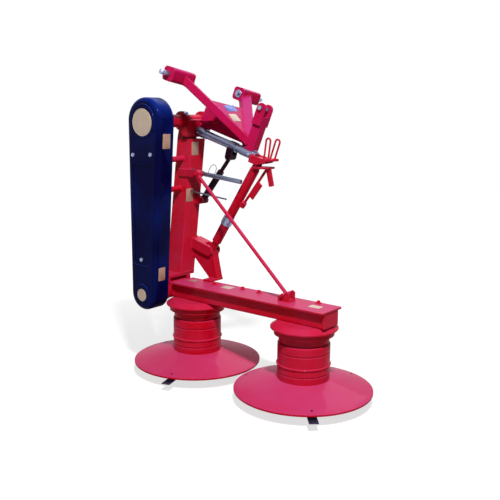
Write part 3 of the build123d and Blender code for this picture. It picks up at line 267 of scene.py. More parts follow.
def spaced(points, step, closed):
    """Points at an even spacing along a line through points."""
    line = points + points[:1] if closed else points
    reach = [0.0]
    for start, end in zip(line, line[1:]):
        reach.append(reach[-1] + (end - start).length)
    count = max(3, round(reach[-1] / step))
    found, k = [], 0
    for n in range(count if closed else count + 1):
        goal = reach[-1] * n / count
        while k < len(line) - 2 and reach[k + 1] < goal:
            k += 1
        span = reach[k + 1] - reach[k]
        found.append(line[k].lerp(line[k + 1], (goal - reach[k]) / span if span else 0))
    return found


def tube(bm, path, radius, closed=False, ripple=1.0, sides=8):
    """Round bar along a path of points; every other ring is scaled by the ripple."""
    rings, side = [], None
    for k, point in enumerate(path):
        ahead = path[(k + 1) % len(path)] if closed or k + 1 < len(path) else point
        behind = path[k - 1] if closed or k else point
        along = (ahead - behind).normalized()
        if side is None:
            side = UP if abs(along.z) < 0.9 else Vector((1, 0, 0))
        place = stand(point, along, side)
        side = place.to_3x3() @ Vector((0, 1, 0))
        size = radius * (ripple if k % 2 else 1.0)
        rings.append([bm.verts.new(place @ Vector((x, y, 0))) for x, y in around(size, sides)])
    if closed:
        turn = min(range(sides), key=lambda s: (rings[-1][0].co - rings[0][s].co).length)
        rings.append(rings[0][turn:] + rings[0][:turn])
    for low, high in zip(rings, rings[1:]):
        for s in range(sides):
            bm.faces.new((low[s], low[(s + 1) % sides], high[(s + 1) % sides], high[s]))
    if not closed:
        bm.faces.new(list(reversed(rings[0])))
        bm.faces.new(rings[-1])


def seams(node, carrier, reach=0.6 * MM, grain=0.02 * MM):
    """Closed lines of points along which a CAD node meets the one that carries it."""
    mesh = frame["nodes"][node].data
    tree = node_tree(carrier)
    spots, uses = {}, {}
    near = [tree.find_nearest(v.co, reach)[0] is not None for v in mesh.vertices]
    for face in mesh.polygons:
        if not all(near[i] for i in face.vertices) or tree.find_nearest(face.center, reach)[0] is None:
            continue
        corners = []
        for i in face.vertices:
            spot = mesh.vertices[i].co
            key = tuple(round(c / grain) for c in spot)
            spots[key] = spot.copy()
            corners.append(key)
        for edge in zip(corners, corners[1:] + corners[:1]):
            uses.setdefault(frozenset(edge), []).append(edge)
    # An edge that only one touching face uses is on the seam
    ahead = {}
    for shared in uses.values():
        if len(shared) == 1:
            ahead.setdefault(shared[0][0], []).append(shared[0][1])
    lines = []
    while ahead:
        line = [next(iter(ahead))]
        while line[-1] in ahead:
            step = ahead[line[-1]].pop()
            if not ahead[line[-1]]:
                del ahead[line[-1]]
            if step == line[0]:
                lines.append([spots[key] for key in line])
                break
            line.append(step)
    return lines


def make_piece(name, bm, finish, body):
    """Turns a mesh under construction into a finished piece that rides on a body."""
    bmesh.ops.recalc_face_normals(bm, faces=bm.faces)
    mesh = bpy.data.meshes.new(name)
    bm.to_mesh(mesh)
    bm.free()
    mesh.polygons.foreach_set("use_smooth", [True] * len(mesh.polygons))
    mesh.set_sharp_from_angle(angle=SHARP_ANGLE)
    piece = bpy.data.objects.new(name, mesh)
    bpy.context.scene.collection.objects.link(piece)
    mesh.materials.append(bpy.data.materials[finish])
    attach(piece, body)
    return piece


def zinc_piece(name, bm, body):
    """Finishes a zinc-plated fastener or fitting."""
    return make_piece(name, bm, "zinc_plated_steel", body)


def add_node(tree, kind, inputs, **settings):
    """Adds one shader node: its settings, then a value or a link for each input."""
    node = tree.nodes.new(kind)
    for key, value in settings.items():
        setattr(node, key, value)
    for key, value in inputs.items():
        if isinstance(value, bpy.types.NodeSocket):
            tree.links.new(value, node.inputs[key])
        else:
            node.inputs[key].default_value = value
    return node


def new_material(name):
    """Makes an empty node material: the tree to build it in, and its output."""
    material = bpy.data.materials.new(name)
    material.use_nodes = True
    tree = material.node_tree
    tree.nodes.clear()
    return tree, tree.nodes.new("ShaderNodeOutputMaterial")


def rgba(colour):
    """Colour with full alpha."""
    return (*colour, 1.0)


def scale_for(size_mm):
    """Texture scale that gives features of this size."""
    return 1 / (size_mm * MM)


def shown_rays(tree):
    """1 for the rays that show a backdrop, to the camera or in metal and gloss, and 0 for its light."""
    path = add_node(tree, "ShaderNodeLightPath", {})
    mirrored = add_node(tree, "ShaderNodeMath", {
        0: path.outputs["Is Glossy Ray"], 1: path.outputs["Is Transmission Ray"]}, operation="MAXIMUM")
    shown = add_node(tree, "ShaderNodeMath", {
        0: path.outputs["Is Camera Ray"], 1: mirrored.outputs[0]}, operation="MAXIMUM")
    return shown.outputs[0]


def gloss_enamel(name, colour, worn_and_highlit, faded_and_sky_lit, sky_gleam, sky_sheen, clear, sky_light_share):
    """Sprayed two-part enamel on steel plate: deep colour under a thin clear layer that glints, slight orange
    peel, a little fading in broad patches, painted sky light on the faces that look up, a sheen at a low angle
    tinted as a painted sky reflection, and thin paint along the edges that is also a painted highlight."""
    tree, output = new_material(name)
    coords = add_node(tree, "ShaderNodeTexCoord", {})
    place = coords.outputs["Object"]
    patches = add_node(tree, "ShaderNodeTexNoise", {
        "Vector": place, "Scale": scale_for(FADE_PATCH), "Detail": 3.0})
    patch_share = add_node(tree, "ShaderNodeMapRange", {
        "Value": patches.outputs["Fac"], "From Min": 0.42, "From Max": 0.68, "To Min": 0.0, "To Max": 0.25})
    # Painted sky light: faces that look up are mixed toward the faded colour, as if lit by a blue sky
    sky = add_node(tree, "ShaderNodeVectorMath", {
        0: coords.outputs["Normal"], 1: UP}, operation="DOT_PRODUCT")
    sky_share = add_node(tree, "ShaderNodeMapRange", {
        "Value": sky.outputs["Value"], "From Min": 0.1, "From Max": 0.9, "To Min": 0.0, "To Max": sky_light_share})
    fade_and_sky_share = add_node(tree, "ShaderNodeMath", {
        0: patch_share.outputs[0], 1: sky_share.outputs[0]}, operation="ADD")
    body = add_node(tree, "ShaderNodeMix", {
        "Factor": fade_and_sky_share.outputs[0], "A": rgba(colour), "B": rgba(faded_and_sky_lit)}, data_type="RGBA")
    # Paint is thin and chipped where the rounded normal leaves the face's own; the lighter colour there is also a
    # painted edge highlight
    soft = add_node(tree, "ShaderNodeBevel", {"Radius": PAINT_EDGE * MM}, samples=4)
    face = add_node(tree, "ShaderNodeNewGeometry", {})
    facing = add_node(tree, "ShaderNodeVectorMath", {
        0: soft.outputs[0], 1: face.outputs["Normal"]}, operation="DOT_PRODUCT")
    edge = add_node(tree, "ShaderNodeMapRange", {
        "Value": facing.outputs["Value"], "From Min": 0.995, "From Max": 0.86, "To Min": 0.0, "To Max": 0.55})
    chips = add_node(tree, "ShaderNodeTexNoise", {
        "Vector": place, "Scale": scale_for(PAINT_CHIP), "Detail": 4.0})
    chip_share = add_node(tree, "ShaderNodeMath", {
        0: edge.outputs[0], 1: chips.outputs["Fac"]}, operation="MULTIPLY")
    coat_colour = add_node(tree, "ShaderNodeMix", {
        "Factor": chip_share.outputs[0], "A": body.outputs["Result"], "B": rgba(worn_and_highlit)}, data_type="RGBA")
    peel = add_node(tree, "ShaderNodeTexNoise", {
        "Vector": place, "Scale": scale_for(ORANGE_PEEL), "Detail": 1.0})
    bump = add_node(tree, "ShaderNodeBump", {
        "Strength": 0.06, "Distance": PEEL_DEPTH * MM, "Height": peel.outputs["Fac"],
        "Normal": soft.outputs[0]})
    rough = add_node(tree, "ShaderNodeMapRange", {
        "Value": patches.outputs["Fac"], "From Min": 0.3, "From Max": 0.7, "To Min": 0.3, "To Max": 0.46})
    # The specular tint and the sheen tint are painted sky reflection: bluish light on paint under white
    # surroundings
    shader = add_node(tree, "ShaderNodeBsdfPrincipled", {
        "Base Color": coat_colour.outputs["Result"], "Roughness": rough.outputs[0], "IOR": 1.5,
        "Specular IOR Level": 0.02, "Specular Tint": rgba(sky_gleam),
        "Coat Weight": clear, "Coat Roughness": 0.06, "Sheen Weight": 0.08, "Sheen Roughness": 0.4,
        "Sheen Tint": rgba(sky_sheen), "Normal": bump.outputs[0]})
    tree.links.new(shader.outputs[0], output.inputs["Surface"])


def plated_steel(name, colour, stain, rough_low, rough_high, grain_mm):
    """Machined steel, bright or zinc plated: metal with fine turning marks and cloudy passivation."""
    tree, output = new_material(name)
    place = add_node(tree, "ShaderNodeTexCoord", {}).outputs["Object"]
    clouds = add_node(tree, "ShaderNodeTexNoise", {
        "Vector": place, "Scale": scale_for(PLATING_CLOUD), "Detail": 4.0})
    tone = add_node(tree, "ShaderNodeMix", {
        "Factor": clouds.outputs["Fac"], "A": rgba(colour), "B": rgba(stain)}, data_type="RGBA")
    marks = add_node(tree, "ShaderNodeTexNoise", {
        "Vector": place, "Scale": scale_for(grain_mm), "Detail": 2.0})
    rough = add_node(tree, "ShaderNodeMapRange", {
        "Value": marks.outputs["Fac"], "From Min": 0.3, "From Max": 0.7,
        "To Min": rough_low, "To Max": rough_high})
    bump = add_node(tree, "ShaderNodeBump", {
        "Strength": 0.12, "Distance": TOOL_MARK_DEPTH * MM, "Height": marks.outputs["Fac"]})
    shader = add_node(tree, "ShaderNodeBsdfPrincipled", {
        "Base Color": tone.outputs["Result"], "Metallic": 1.0, "Roughness": rough.outputs[0],
        "Normal": bump.outputs[0]})
    tree.links.new(shader.outputs[0], output.inputs["Surface"])


def printed_vinyl(name, colour, shade):
    """Self-adhesive vinyl film: smooth satin plastic, a little yellowed in patches."""
    tree, output = new_material(name)
    place = add_node(tree, "ShaderNodeTexCoord", {}).outputs["Object"]
    yellowing = add_node(tree, "ShaderNodeTexNoise", {
        "Vector": place, "Scale": scale_for(VINYL_PATCH), "Detail": 3.0})
    tone = add_node(tree, "ShaderNodeMix", {
        "Factor": yellowing.outputs["Fac"], "A": rgba(colour), "B": rgba(shade)}, data_type="RGBA")
    shader = add_node(tree, "ShaderNodeBsdfPrincipled", {
        "Base Color": tone.outputs["Result"], "Roughness": 0.4, "IOR": 1.46})
    tree.links.new(shader.outputs[0], output.inputs["Surface"])


def studio_paper(name, colour, shade):
    """Matt studio paper: pale, with its shadow, and lifted to white in what shows it, most far off."""
    tree, output = new_material(name)
    place = add_node(tree, "ShaderNodeTexCoord", {}).outputs["Object"]
    fibre = add_node(tree, "ShaderNodeTexNoise", {
        "Vector": place, "Scale": scale_for(PAPER_FIBRE), "Detail": 2.0})
    tone = add_node(tree, "ShaderNodeMix", {
        "Factor": fibre.outputs["Fac"], "A": rgba(colour), "B": rgba(shade)}, data_type="RGBA")
    matt = add_node(tree, "ShaderNodeBsdfDiffuse", {"Color": tone.outputs["Result"]})
    reach = add_node(tree, "ShaderNodeVectorMath", {0: place}, operation="LENGTH")
    glow_level = add_node(tree, "ShaderNodeMapRange", {
        "Value": reach.outputs["Value"], "From Min": 1.2, "From Max": 4.0, "To Min": 0.7, "To Max": 0.96})
    lift = add_node(tree, "ShaderNodeMath", {
        0: shown_rays(tree), 1: glow_level.outputs[0]}, operation="MULTIPLY")
    glow = add_node(tree, "ShaderNodeEmission", {"Color": (1, 1, 1, 1), "Strength": lift.outputs[0]})
    both = add_node(tree, "ShaderNodeAddShader", {0: matt.outputs[0], 1: glow.outputs[0]})
    tree.links.new(both.outputs[0], output.inputs["Surface"])


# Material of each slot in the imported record
FINISHES = {
    "red_paint": "red_gloss_enamel",
    "blue_paint": "navy_gloss_enamel",
    "dark_paint": "black_gloss_enamel",
    "bright_steel": "machined_steel",
    "zinc_steel": "zinc_plated_steel",
    "knife_steel": "tempered_spring_steel",
}

# Red nodes that lie open to the sky, with more painted sky light on their faces that look up; the hitch, whose
# paint has less gloss and whose magenta red is painted sky light; and the guard's back plate, sprayed together
# with the guard
NODE_FINISHES = dict.fromkeys((
    "disc_left", "disc_right", "beam_cover", "tie_rod", "strut_side_rod", "head_bridge",
), "red_faded_and_sky_lit_enamel") | dict.fromkeys((
    "hitch_bosses", "hitch_gusset", "hitch_legs", "hitch_web", "hitch_shelf", "top_leg", "top_clevis",
), "red_dull_sky_lit_enamel") | {"guard_plate": "navy_gloss_enamel"}


class MowerColours(bpy.types.PropertyGroup):
    """Colours of the mower's finishes."""
    red: FloatVectorProperty(
        name="Red enamel", description="Paint of the frame, drums and discs", subtype="COLOR",
        min=0, max=1, default=linear("#C40622"))
    # In patches this is real fading; on faces that look up it is painted sky light
    red_faded_and_sky_lit: FloatVectorProperty(
        name="Faded red", description="Upper faces and patches where the red has faded", subtype="COLOR",
        min=0, max=1, default=linear("#C43A6C"))
    # Along the edges this is worn paint and also a painted highlight
    red_worn_and_highlit: FloatVectorProperty(
        name="Worn red", description="Thin paint along the edges", subtype="COLOR",
        min=0, max=1, default=linear("#E05A80"))
    # The hitch's magenta red is the same paint with painted sky light in its colour; it has less gloss
    red_hitch_sky_lit: FloatVectorProperty(
        name="Weathered red", description="Paint of the hitch, which has lost its gloss", subtype="COLOR",
        min=0, max=1, default=linear("#B80A3E"))
    blue: FloatVectorProperty(
        name="Navy enamel", description="Paint of the belt guard", subtype="COLOR",
        min=0, max=1, default=linear("#020334"))
    black: FloatVectorProperty(
        name="Black enamel", description="Paint of the ram", subtype="COLOR",
        min=0, max=1, default=linear("#220C16"))
    zinc: FloatVectorProperty(
        name="Zinc plate", description="Plated pins, posts and collars", subtype="COLOR",
        min=0, max=1, default=linear("#98A2BE"))
    steel: FloatVectorProperty(
        name="Machined steel", description="Shafts and pins", subtype="COLOR",
        min=0, max=1, default=linear("#A2ABC6"))
    tempered: FloatVectorProperty(
        name="Tempered steel", description="Knives and sliding dishes", subtype="COLOR",
        min=0, max=1, default=linear("#4A5578"))
    cream: FloatVectorProperty(
        name="Cream vinyl", description="Blank discs and labels", subtype="COLOR",
        min=0, max=1, default=linear("#C4B09C"))
    tan: FloatVectorProperty(
        name="Tan vinyl", description="Blank labels on the arm", subtype="COLOR",
        min=0, max=1, default=linear("#B28E7A"))
    label_blue: FloatVectorProperty(
        name="Blue vinyl", description="Blank band on the hitch's gusset", subtype="COLOR",
        min=0, max=1, default=linear("#4C6CC0"))
    floor: FloatVectorProperty(
        name="Floor", description="Plain studio floor", subtype="COLOR",
        min=0, max=1, default=linear("#A8A8A8"))


class MowerSizes(bpy.types.PropertyGroup):
    """Sizes of the trim that the dressing adds."""
    bolt_across: FloatProperty(
        name="Bolt head", description="Width across the flats of the cover's bolts",
        unit="LENGTH", default=19 * MM)
    plate_bolt_across: FloatProperty(
        name="Plate bolt", description="Width across the flats of the smaller bolts",
        unit="LENGTH", default=13 * MM)
    label_thickness: FloatProperty(
        name="Label thickness", description="Thickness of the blank labels", unit="LENGTH", default=0.8 * MM)
    label_corner: FloatProperty(
        name="Label corner", description="Radius of the labels' corners", unit="LENGTH", default=5 * MM)
    upper_disc_radius: FloatProperty(
        name="Upper disc", description="Radius of the blank disc on the guard's upper end",
        unit="LENGTH", default=78 * MM)
    lower_disc_radius: FloatProperty(
        name="Lower disc", description="Radius of the blank disc on the guard's lower end",
        unit="LENGTH", default=37 * MM)
    screw_radius: FloatProperty(
        name="Guard screw", description="Radius of the screws that hold the guard",
        unit="LENGTH", default=13 * MM)
    weld_radius: FloatProperty(
        name="Weld bead", description="Half width of the weld beads", unit="LENGTH", default=4 * MM)


class MOWER_OT_finishes(bpy.types.Operator):
    """Make the finishes and paint every CAD node with its own"""
    bl_idname = "mower.finishes"
    bl_label = "Paint the mower"

    def execute(self, context):
        c = context.scene.mower_colours
        red_tones = (c.red, c.red_worn_and_highlit, c.red_faded_and_sky_lit, RED_SKY_GLEAM, RED_SKY_SHEEN)
        # The hitch's tones carry painted sky light
        hitch_tones = (c.red_hitch_sky_lit, c.red_worn_and_highlit, HITCH_FADED_AND_SKY_LIT, RED_SKY_GLEAM, HITCH_SKY_SHEEN)
        navy_tones = (c.blue, NAVY_WORN_AND_HIGHLIT, NAVY_FADED_AND_SKY_LIT, NAVY_SKY_GLEAM, NAVY_SKY_SHEEN)
        black_tones = (c.black, BLACK_WORN_AND_HIGHLIT, BLACK_FADED_AND_SKY_LIT, RED_SKY_GLEAM, BLACK_SKY_SHEEN)
        # Name, tones, weight of the clear layer, share of painted sky light on the faces that look up
        gloss_enamel("red_gloss_enamel", *red_tones, 0.08, 0.25)
        gloss_enamel("red_faded_and_sky_lit_enamel", *red_tones, 0.08, 0.75)
        gloss_enamel("red_dull_sky_lit_enamel", *hitch_tones, 0.04, 0.75)
        gloss_enamel("navy_gloss_enamel", *navy_tones, 0.05, 0.75)
        gloss_enamel("black_gloss_enamel", *black_tones, 0.1, 0.5)
        # Name, colour, stain, least and most roughness, size of the turning marks in mm
        plated_steel("machined_steel", c.steel, STEEL_STAIN, 0.3, 0.46, 4)
        plated_steel("zinc_plated_steel", c.zinc, ZINC_STAIN, 0.3, 0.48, 6)
        plated_steel("tempered_spring_steel", c.tempered, TEMPERED_STAIN, 0.34, 0.52, 8)
        printed_vinyl("cream_vinyl", c.cream, CREAM_SHADE)
        printed_vinyl("tan_vinyl", c.tan, TAN_SHADE)
        printed_vinyl("blue_vinyl", c.label_blue, BLUE_SHADE)
        for row in frame["record"]["subparts"]:
            finish = NODE_FINISHES.get(row["node"], FINISHES[row["material_slot"]])
            mesh = frame["nodes"][row["node"]].data
            mesh.materials.clear()
            mesh.materials.append(bpy.data.materials[finish])
        return {"FINISHED"}


class MOWER_OT_guard_trim(bpy.types.Operator):
    """Add the blank discs and the screws on the belt guard's front"""
    bl_idname = "mower.guard_trim"
    bl_label = "Guard discs and screws"

    screw_pixels = ((133.2, 154.8), (150.5, 154.8), (141.7, 259.7))
    disc_drop = 7 * MM  # of the discs' middles under the belt's axes
    # of the groove round each disc: share of the disc's radius, height in thicknesses of a label
    groove = ((0.93, 2), (0.92, 1), (0.88, 1), (0.87, 2))

    def execute(self, context):
        sizes = context.scene.mower_sizes
        thick = sizes.label_thickness
        low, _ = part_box("belt_guard")
        for name, axis_place, radius in (
            ("guard_disc_upper", joint_place("head_tilt"), sizes.upper_disc_radius),
            ("guard_disc_lower", joint_place("arm_fold"), sizes.lower_disc_radius),
        ):
            start = Vector((axis_place.x, low.y - SEARCH_RUN, axis_place.z - self.disc_drop))
            point, normal = touch("belt_guard", start, FORWARD)
            rim = [(0, 0), (radius, 0), (radius, thick), (radius - thick, 2 * thick)]
            face = [(share * radius, height * thick) for share, height in self.groove]
            bm = bmesh.new()
            lathe(bm, rim + face + [(0, 2 * thick)], stand(point, normal), steps=64)
            make_piece(name, bm, "cream_vinyl", "arm")
        bm = bmesh.new()
        for pixel in self.screw_pixels:
            point, normal = seen("belt_guard", pixel)
            domed_screw(bm, stand(point, normal), sizes.screw_radius)
        zinc_piece("guard_screws", bm, "arm")
        return {"FINISHED"}


class MOWER_OT_labels(bpy.types.Operator):
    """Add the blank labels on the guard's side, the column, the beam's cover and the hitch's gusset"""
    bl_idname = "mower.labels"
    bl_label = "Blank labels"

    # name, node, body, finish, pixel of the middle, width and height in mm, direction of the height
    rows = (
        ("label_guard_upper", "belt_guard", "arm", "tan_vinyl", (166.5, 141.5), 60, 84, UP),
        ("label_guard_lower", "belt_guard", "arm", "tan_vinyl", (161.8, 274.2), 54, 80, UP),
        ("label_column_upper", "arm_column", "arm", "tan_vinyl", (195.0, 148.5), 60, 80, UP),
        ("label_column_lower", "arm_column", "arm", "tan_vinyl", (189.5, 195.0), 60, 80, UP),
        ("label_cover_left", "beam_cover", "cutter_bar", "tan_vinyl", (192.5, 280.5), 50, 40, FORWARD),
        ("label_cover_mid", "beam_cover", "cutter_bar", "cream_vinyl", (227.7, 287.5), 70, 55, FORWARD),
        ("label_cover_right", "beam_cover", "cutter_bar", "cream_vinyl", (315.5, 306.8), 70, 48, FORWARD),
        ("label_gusset_upper", "hitch_gusset", "hitch", "blue_vinyl", (230.8, 108.4), 118, 46, UP),
        ("label_gusset_lower", "hitch_gusset", "hitch", "cream_vinyl", (234.8, 117.6), 88, 56, UP),
    )
    # of a label's edge: scale of the outline, share of the thickness
    edge = ((1, 0), (1, 0.6), (0.99, 1))

    def execute(self, context):
        sizes = context.scene.mower_sizes
        edge = [(scale, share * sizes.label_thickness) for scale, share in self.edge]
        for name, node, body, finish, pixel, width, height, side in self.rows:
            point, normal = seen(node, pixel)
            outline = rounded_outline(width * MM, height * MM, sizes.label_corner)
            bm = bmesh.new()
            prism(bm, outline, edge, stand(point, normal, side))
            make_piece(name, bm, finish, body)
        return {"FINISHED"}


class MOWER_OT_bolts(bpy.types.Operator):
    """Add the hexagon bolts that hold the beam's cover, painted over with it"""
    bl_idname = "mower.bolts"
    bl_label = "Cover bolts"

    cover_pixels = ((214.7, 284.6), (242.6, 289.2), (259.0, 292.6), (318.5, 303.2))

    def execute(self, context):
        across = context.scene.mower_sizes.bolt_across
        bm = bmesh.new()
        for pixel in self.cover_pixels:
            point, normal = seen("beam_cover", pixel)
            hex_bolt(bm, stand(point, normal), across)
        make_piece("cover_bolts", bm, "red_gloss_enamel", "cutter_bar")
        return {"FINISHED"}


class MOWER_OT_plate_bolts(bpy.types.Operator):
    """Add the bolts on the guard's back plate and round the trunnions"""
    bl_idname = "mower.plate_bolts"
    bl_label = "Plate bolts"

    inset = 1.1  # of the plate's bolts from its edge, in widths of a cover bolt
    end_turns = (0, 45, 90, 135, 180)  # degrees round each end of the plate
    side_shares = (0.25, 0.5, 0.75)  # of the way down each side of the plate
    trunnion_circle = 30 * MM
    trunnion_bolts = 6

    def plate_places(self, inset):
        """Places (x, z) of the bolts round the plate's two ends and down its sides."""
        box_low, box_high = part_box("guard_plate")
        top, foot = joint_place("head_tilt"), joint_place("arm_fold")
        ends = []
        for centre, reach, first in ((top, box_high.z - top.z, 0), (foot, foot.z - box_low.z, 180)):
            radius = reach - inset
            turns = [math.radians(first + turn) for turn in self.end_turns]
            ends.append([(centre.x + radius * math.cos(a), centre.z + radius * math.sin(a)) for a in turns])
        upper, lower = ends
        sides = []
        for start, end in ((upper[0], lower[-1]), (upper[-1], lower[0])):
            sides += [tuple(a + (b - a) * share for a, b in zip(start, end)) for share in self.side_shares]
        return upper + lower + sides

    def execute(self, context):
        sizes = context.scene.mower_sizes
        _, plate_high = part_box("guard_plate")
        bm = bmesh.new()
        for x, z in self.plate_places(self.inset * sizes.bolt_across):
            point, normal = touch("guard_plate", Vector((x, plate_high.y + SEARCH_RUN, z)), -FORWARD)
            hex_bolt(bm, stand(point, normal), sizes.plate_bolt_across)
        zinc_piece("guard_plate_bolts", bm, "arm")
        foot = joint_place("arm_fold")
        box_low, box_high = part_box("gearbox_housing")
        bm = bmesh.new()
        for y, aim in ((box_low.y - SEARCH_RUN, FORWARD), (box_high.y + SEARCH_RUN, -FORWARD)):
            for x, z in around(self.trunnion_circle, self.trunnion_bolts):
                point, normal = touch("gearbox_housing", Vector((foot.x + x, y, foot.z + z)), aim)
                hex_bolt(bm, stand(point, normal), sizes.plate_bolt_across)
        zinc_piece("trunnion_bolts", bm, "cutter_bar")
        return {"FINISHED"}


class MOWER_OT_splined_input(bpy.types.Operator):
    """Put a six-spline stub with its locking groove in the plain input shaft's place"""
    bl_idname = "mower.splined_input"
    bl_label = "Splined input"

    teeth = 6
    collar = 10 * MM
    collar_edge = 1.5 * MM
    # of one tooth and the gap after it: degrees from the tooth's middle, share of the shaft's radius
    tooth = ((-17, 0.84), (-14, 1.0), (0, 1.0), (14, 1.0), (17, 0.84), (30, 0.83))
    # along the splines, with the groove: scale of the outline, share of the length past the collar
    rows = ((1, 0), (1, 0.6), (0.85, 0.63), (0.85, 0.72), (1, 0.75), (1, 0.95), (0.88, 1))

    def execute(self, context):
        low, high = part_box("input_shaft")
        _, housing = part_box("bearing_housing")
        axis = joint_place("input_spin")
        place = stand(Vector((axis.x, housing.y, axis.z)), FORWARD)
        splines = high.y - housing.y - self.collar
        radius = mount("pto_input")["dims"]["r_mm"] * MM
        outline = []
        for k in range(self.teeth):
            for turn, share in self.tooth:
                a = math.radians(360 / self.teeth * k + turn)
                outline.append((radius * share * math.cos(a), radius * share * math.sin(a)))
        bm = bmesh.new()
        prism(bm, outline, [(scale, self.collar + share * splines) for scale, share in self.rows], place)
        wide = (high.x - low.x) / 2
        collar = [(0, 0), (wide, 0), (wide, self.collar - self.collar_edge)]
        lathe(bm, collar + [(wide - self.collar_edge, self.collar), (0, self.collar)], place, steps=48)
        piece = make_piece("splined_input", bm, "machined_steel", "input")
        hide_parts("input_shaft")
        return {"FINISHED"}


class MOWER_OT_fittings(bpy.types.Operator):
    """Add the link pins' nuts, the head's bolt, grease nipples, the ram's port and the post's spring clip"""
    bl_idname = "mower.fittings"
    bl_label = "Small fittings"

    pin_nut_across = 24 * MM
    head_bolt_across = 15 * MM
    head_bolt_pixel = (186.5, 113.5)
    nipple_height = 13 * MM
    nipple_inset = 22 * MM  # from the sleeves' ends
    port_rise = 62 * MM  # up the ram from its lower pin
    port_radius = 11 * MM
    port_height = 9.5 * MM
    port_edge = 1.5 * MM
    port_sunk = 3 * MM  # into the barrel
    plug_across = 9.5 * MM
    clip_pixel = (211.0, 174.0)
    clip_wire = 2.2 * MM
    clip_step = 4 * MM  # between the wire's rings
    clip_set_back = 4 * MM
    # of the wire's bends: across and up in mm
    clip_bends = ((-24, -6), (-21, 18), (-6, 43), (14, 56), (33, 52), (40, 34), (31, 12), (15, -6))

    def execute(self, context):
        self.nuts_and_bolt()
        self.nipples()
        self.ram_port()
        self.post_clip()
        return {"FINISHED"}

    def nuts_and_bolt(self):
        """Nuts of the lower links' pins, inside their bosses, and the bolt on the head's cheek."""
        pins = mount("lower_link_left"), mount("lower_link_right")
        middle = (Vector(pins[0]["pos_m"]) + Vector(pins[1]["pos_m"])) / 2
        bm = bmesh.new()
        for pin in pins:
            point, normal = touch("hitch_bosses", middle, Vector(pin["axis"]))
            hex_bolt(bm, stand(point, normal), self.pin_nut_across)
        zinc_piece("link_pin_nuts", bm, "hitch")
        bm = bmesh.new()
        point, normal = seen("head_cheeks", self.head_bolt_pixel)
        hex_bolt(bm, stand(point, normal), self.head_bolt_across)
        zinc_piece("head_bolt", bm, "headstock")

    def nipples(self):
        """Grease nipples on the hitch's two sleeves and on the bearing's housing."""
        axis, foot = joint_axis("hitch_slew"), joint_place("hitch_slew")
        reach = [(v.co - foot).dot(axis) for v in frame["nodes"]["hitch_sleeves"].data.vertices]
        bm = bmesh.new()
        for along in (min(reach) + self.nipple_inset, max(reach) - self.nipple_inset):
            point, normal = touch("hitch_sleeves", foot + axis * along - FORWARD * SEARCH_RUN, FORWARD)
            grease_nipple(bm, stand(point, normal), self.nipple_height)
        zinc_piece("sleeve_nipples", bm, "hitch")
        low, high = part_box("bearing_housing")
        start = Vector((joint_place("head_tilt").x, (low.y + high.y) / 2, high.z + SEARCH_RUN))
        point, normal = touch("bearing_housing", start, -UP)
        bm = bmesh.new()
        grease_nipple(bm, stand(point, normal), self.nipple_height)
        zinc_piece("housing_nipple", bm, "arm")

    def ram_port(self):
        """Hydraulic port on the ram's far side: a round boss and its hexagon plug."""
        start = joint_place("ram_swing") + joint_axis("ram_slide") * self.port_rise + FORWARD * SEARCH_RUN
        point, normal = touch("ram_barrel", start, -FORWARD)
        place = stand(point - normal * self.port_sunk, normal)
        radius, height, edge = self.port_radius, self.port_height, self.port_edge
        boss = [(0, 0), (radius, 0), (radius, height - edge), (radius - edge, height), (0, height)]
        bm = bmesh.new()
        lathe(bm, boss, place)
        make_piece("ram_port_boss", bm, "black_gloss_enamel", "ram_barrel")
        bm = bmesh.new()
        hex_bolt(bm, place @ Matrix.Translation((0, 0, height)), self.plug_across)
        zinc_piece("ram_port_plug", bm, "ram_barrel")

    def post_clip(self):
        """Spring clip: a bent wire ring that stands on the storage post."""
        point, _ = seen("storage_post", self.clip_pixel)
        place = stand(point, -FORWARD)
        path = [place @ Vector((x * MM, y * MM, -self.clip_set_back)) for x, y in self.clip_bends]
        bm = bmesh.new()
        tube(bm, spaced(path, self.clip_step, closed=False), self.clip_wire)
        zinc_piece("post_clip", bm, "arm")


class MOWER_OT_welds(bpy.types.Operator):
    """Add the weld beads along the seams where plates, tubes and lugs meet"""
    bl_idname = "mower.welds"
    bl_label = "Weld beads"

    ripple = 0.84  # size of the bead between two drops
    drop_step = 0.8  # from ring to ring, in half widths of the bead
    # body, its welded pairs: the node and the one that carries it
    rows = (
        ("cutter_bar", (
            ("tie_cradle", "beam_cover"), ("gearbox_housing", "beam_box"), ("beam_end_cap", "beam_box"))),
        ("arm", (
            ("arm_column", "arm_base"), ("storage_post", "arm_column"), ("tie_lug", "arm_column"),
            ("ram_ears", "arm_column"), ("arm_knee", "arm_column"), ("guard_stays", "arm_column"),
            ("guard_stays", "guard_plate"), ("bearing_housing", "arm_column"))),
        ("headstock", (
            ("slew_shaft", "head_bridge"), ("strut_bracket", "slew_shaft"), ("ram_lug", "ram_collar"),
            ("lock_pins", "strut_bracket"))),
        ("hitch", (
            ("hitch_legs", "hitch_bosses"), ("hitch_gusset", "hitch_legs"), ("hitch_shelf", "hitch_web"),
            ("top_clevis", "top_leg"), ("hitch_legs", "hitch_web"))),
        ("strut_tube", (("strut_side_rod", "strut_tube"),)),
    )

    def execute(self, context):
        radius = context.scene.mower_sizes.weld_radius
        for body, pairs in self.rows:
            bm = bmesh.new()
            for node, carrier in pairs:
                for line in seams(node, carrier):
                    path = spaced(line, self.drop_step * radius, closed=True)
                    tube(bm, path, radius, closed=True, ripple=self.ripple)
            make_piece(f"welds_{body}", bm, "red_gloss_enamel", body)
        return {"FINISHED"}


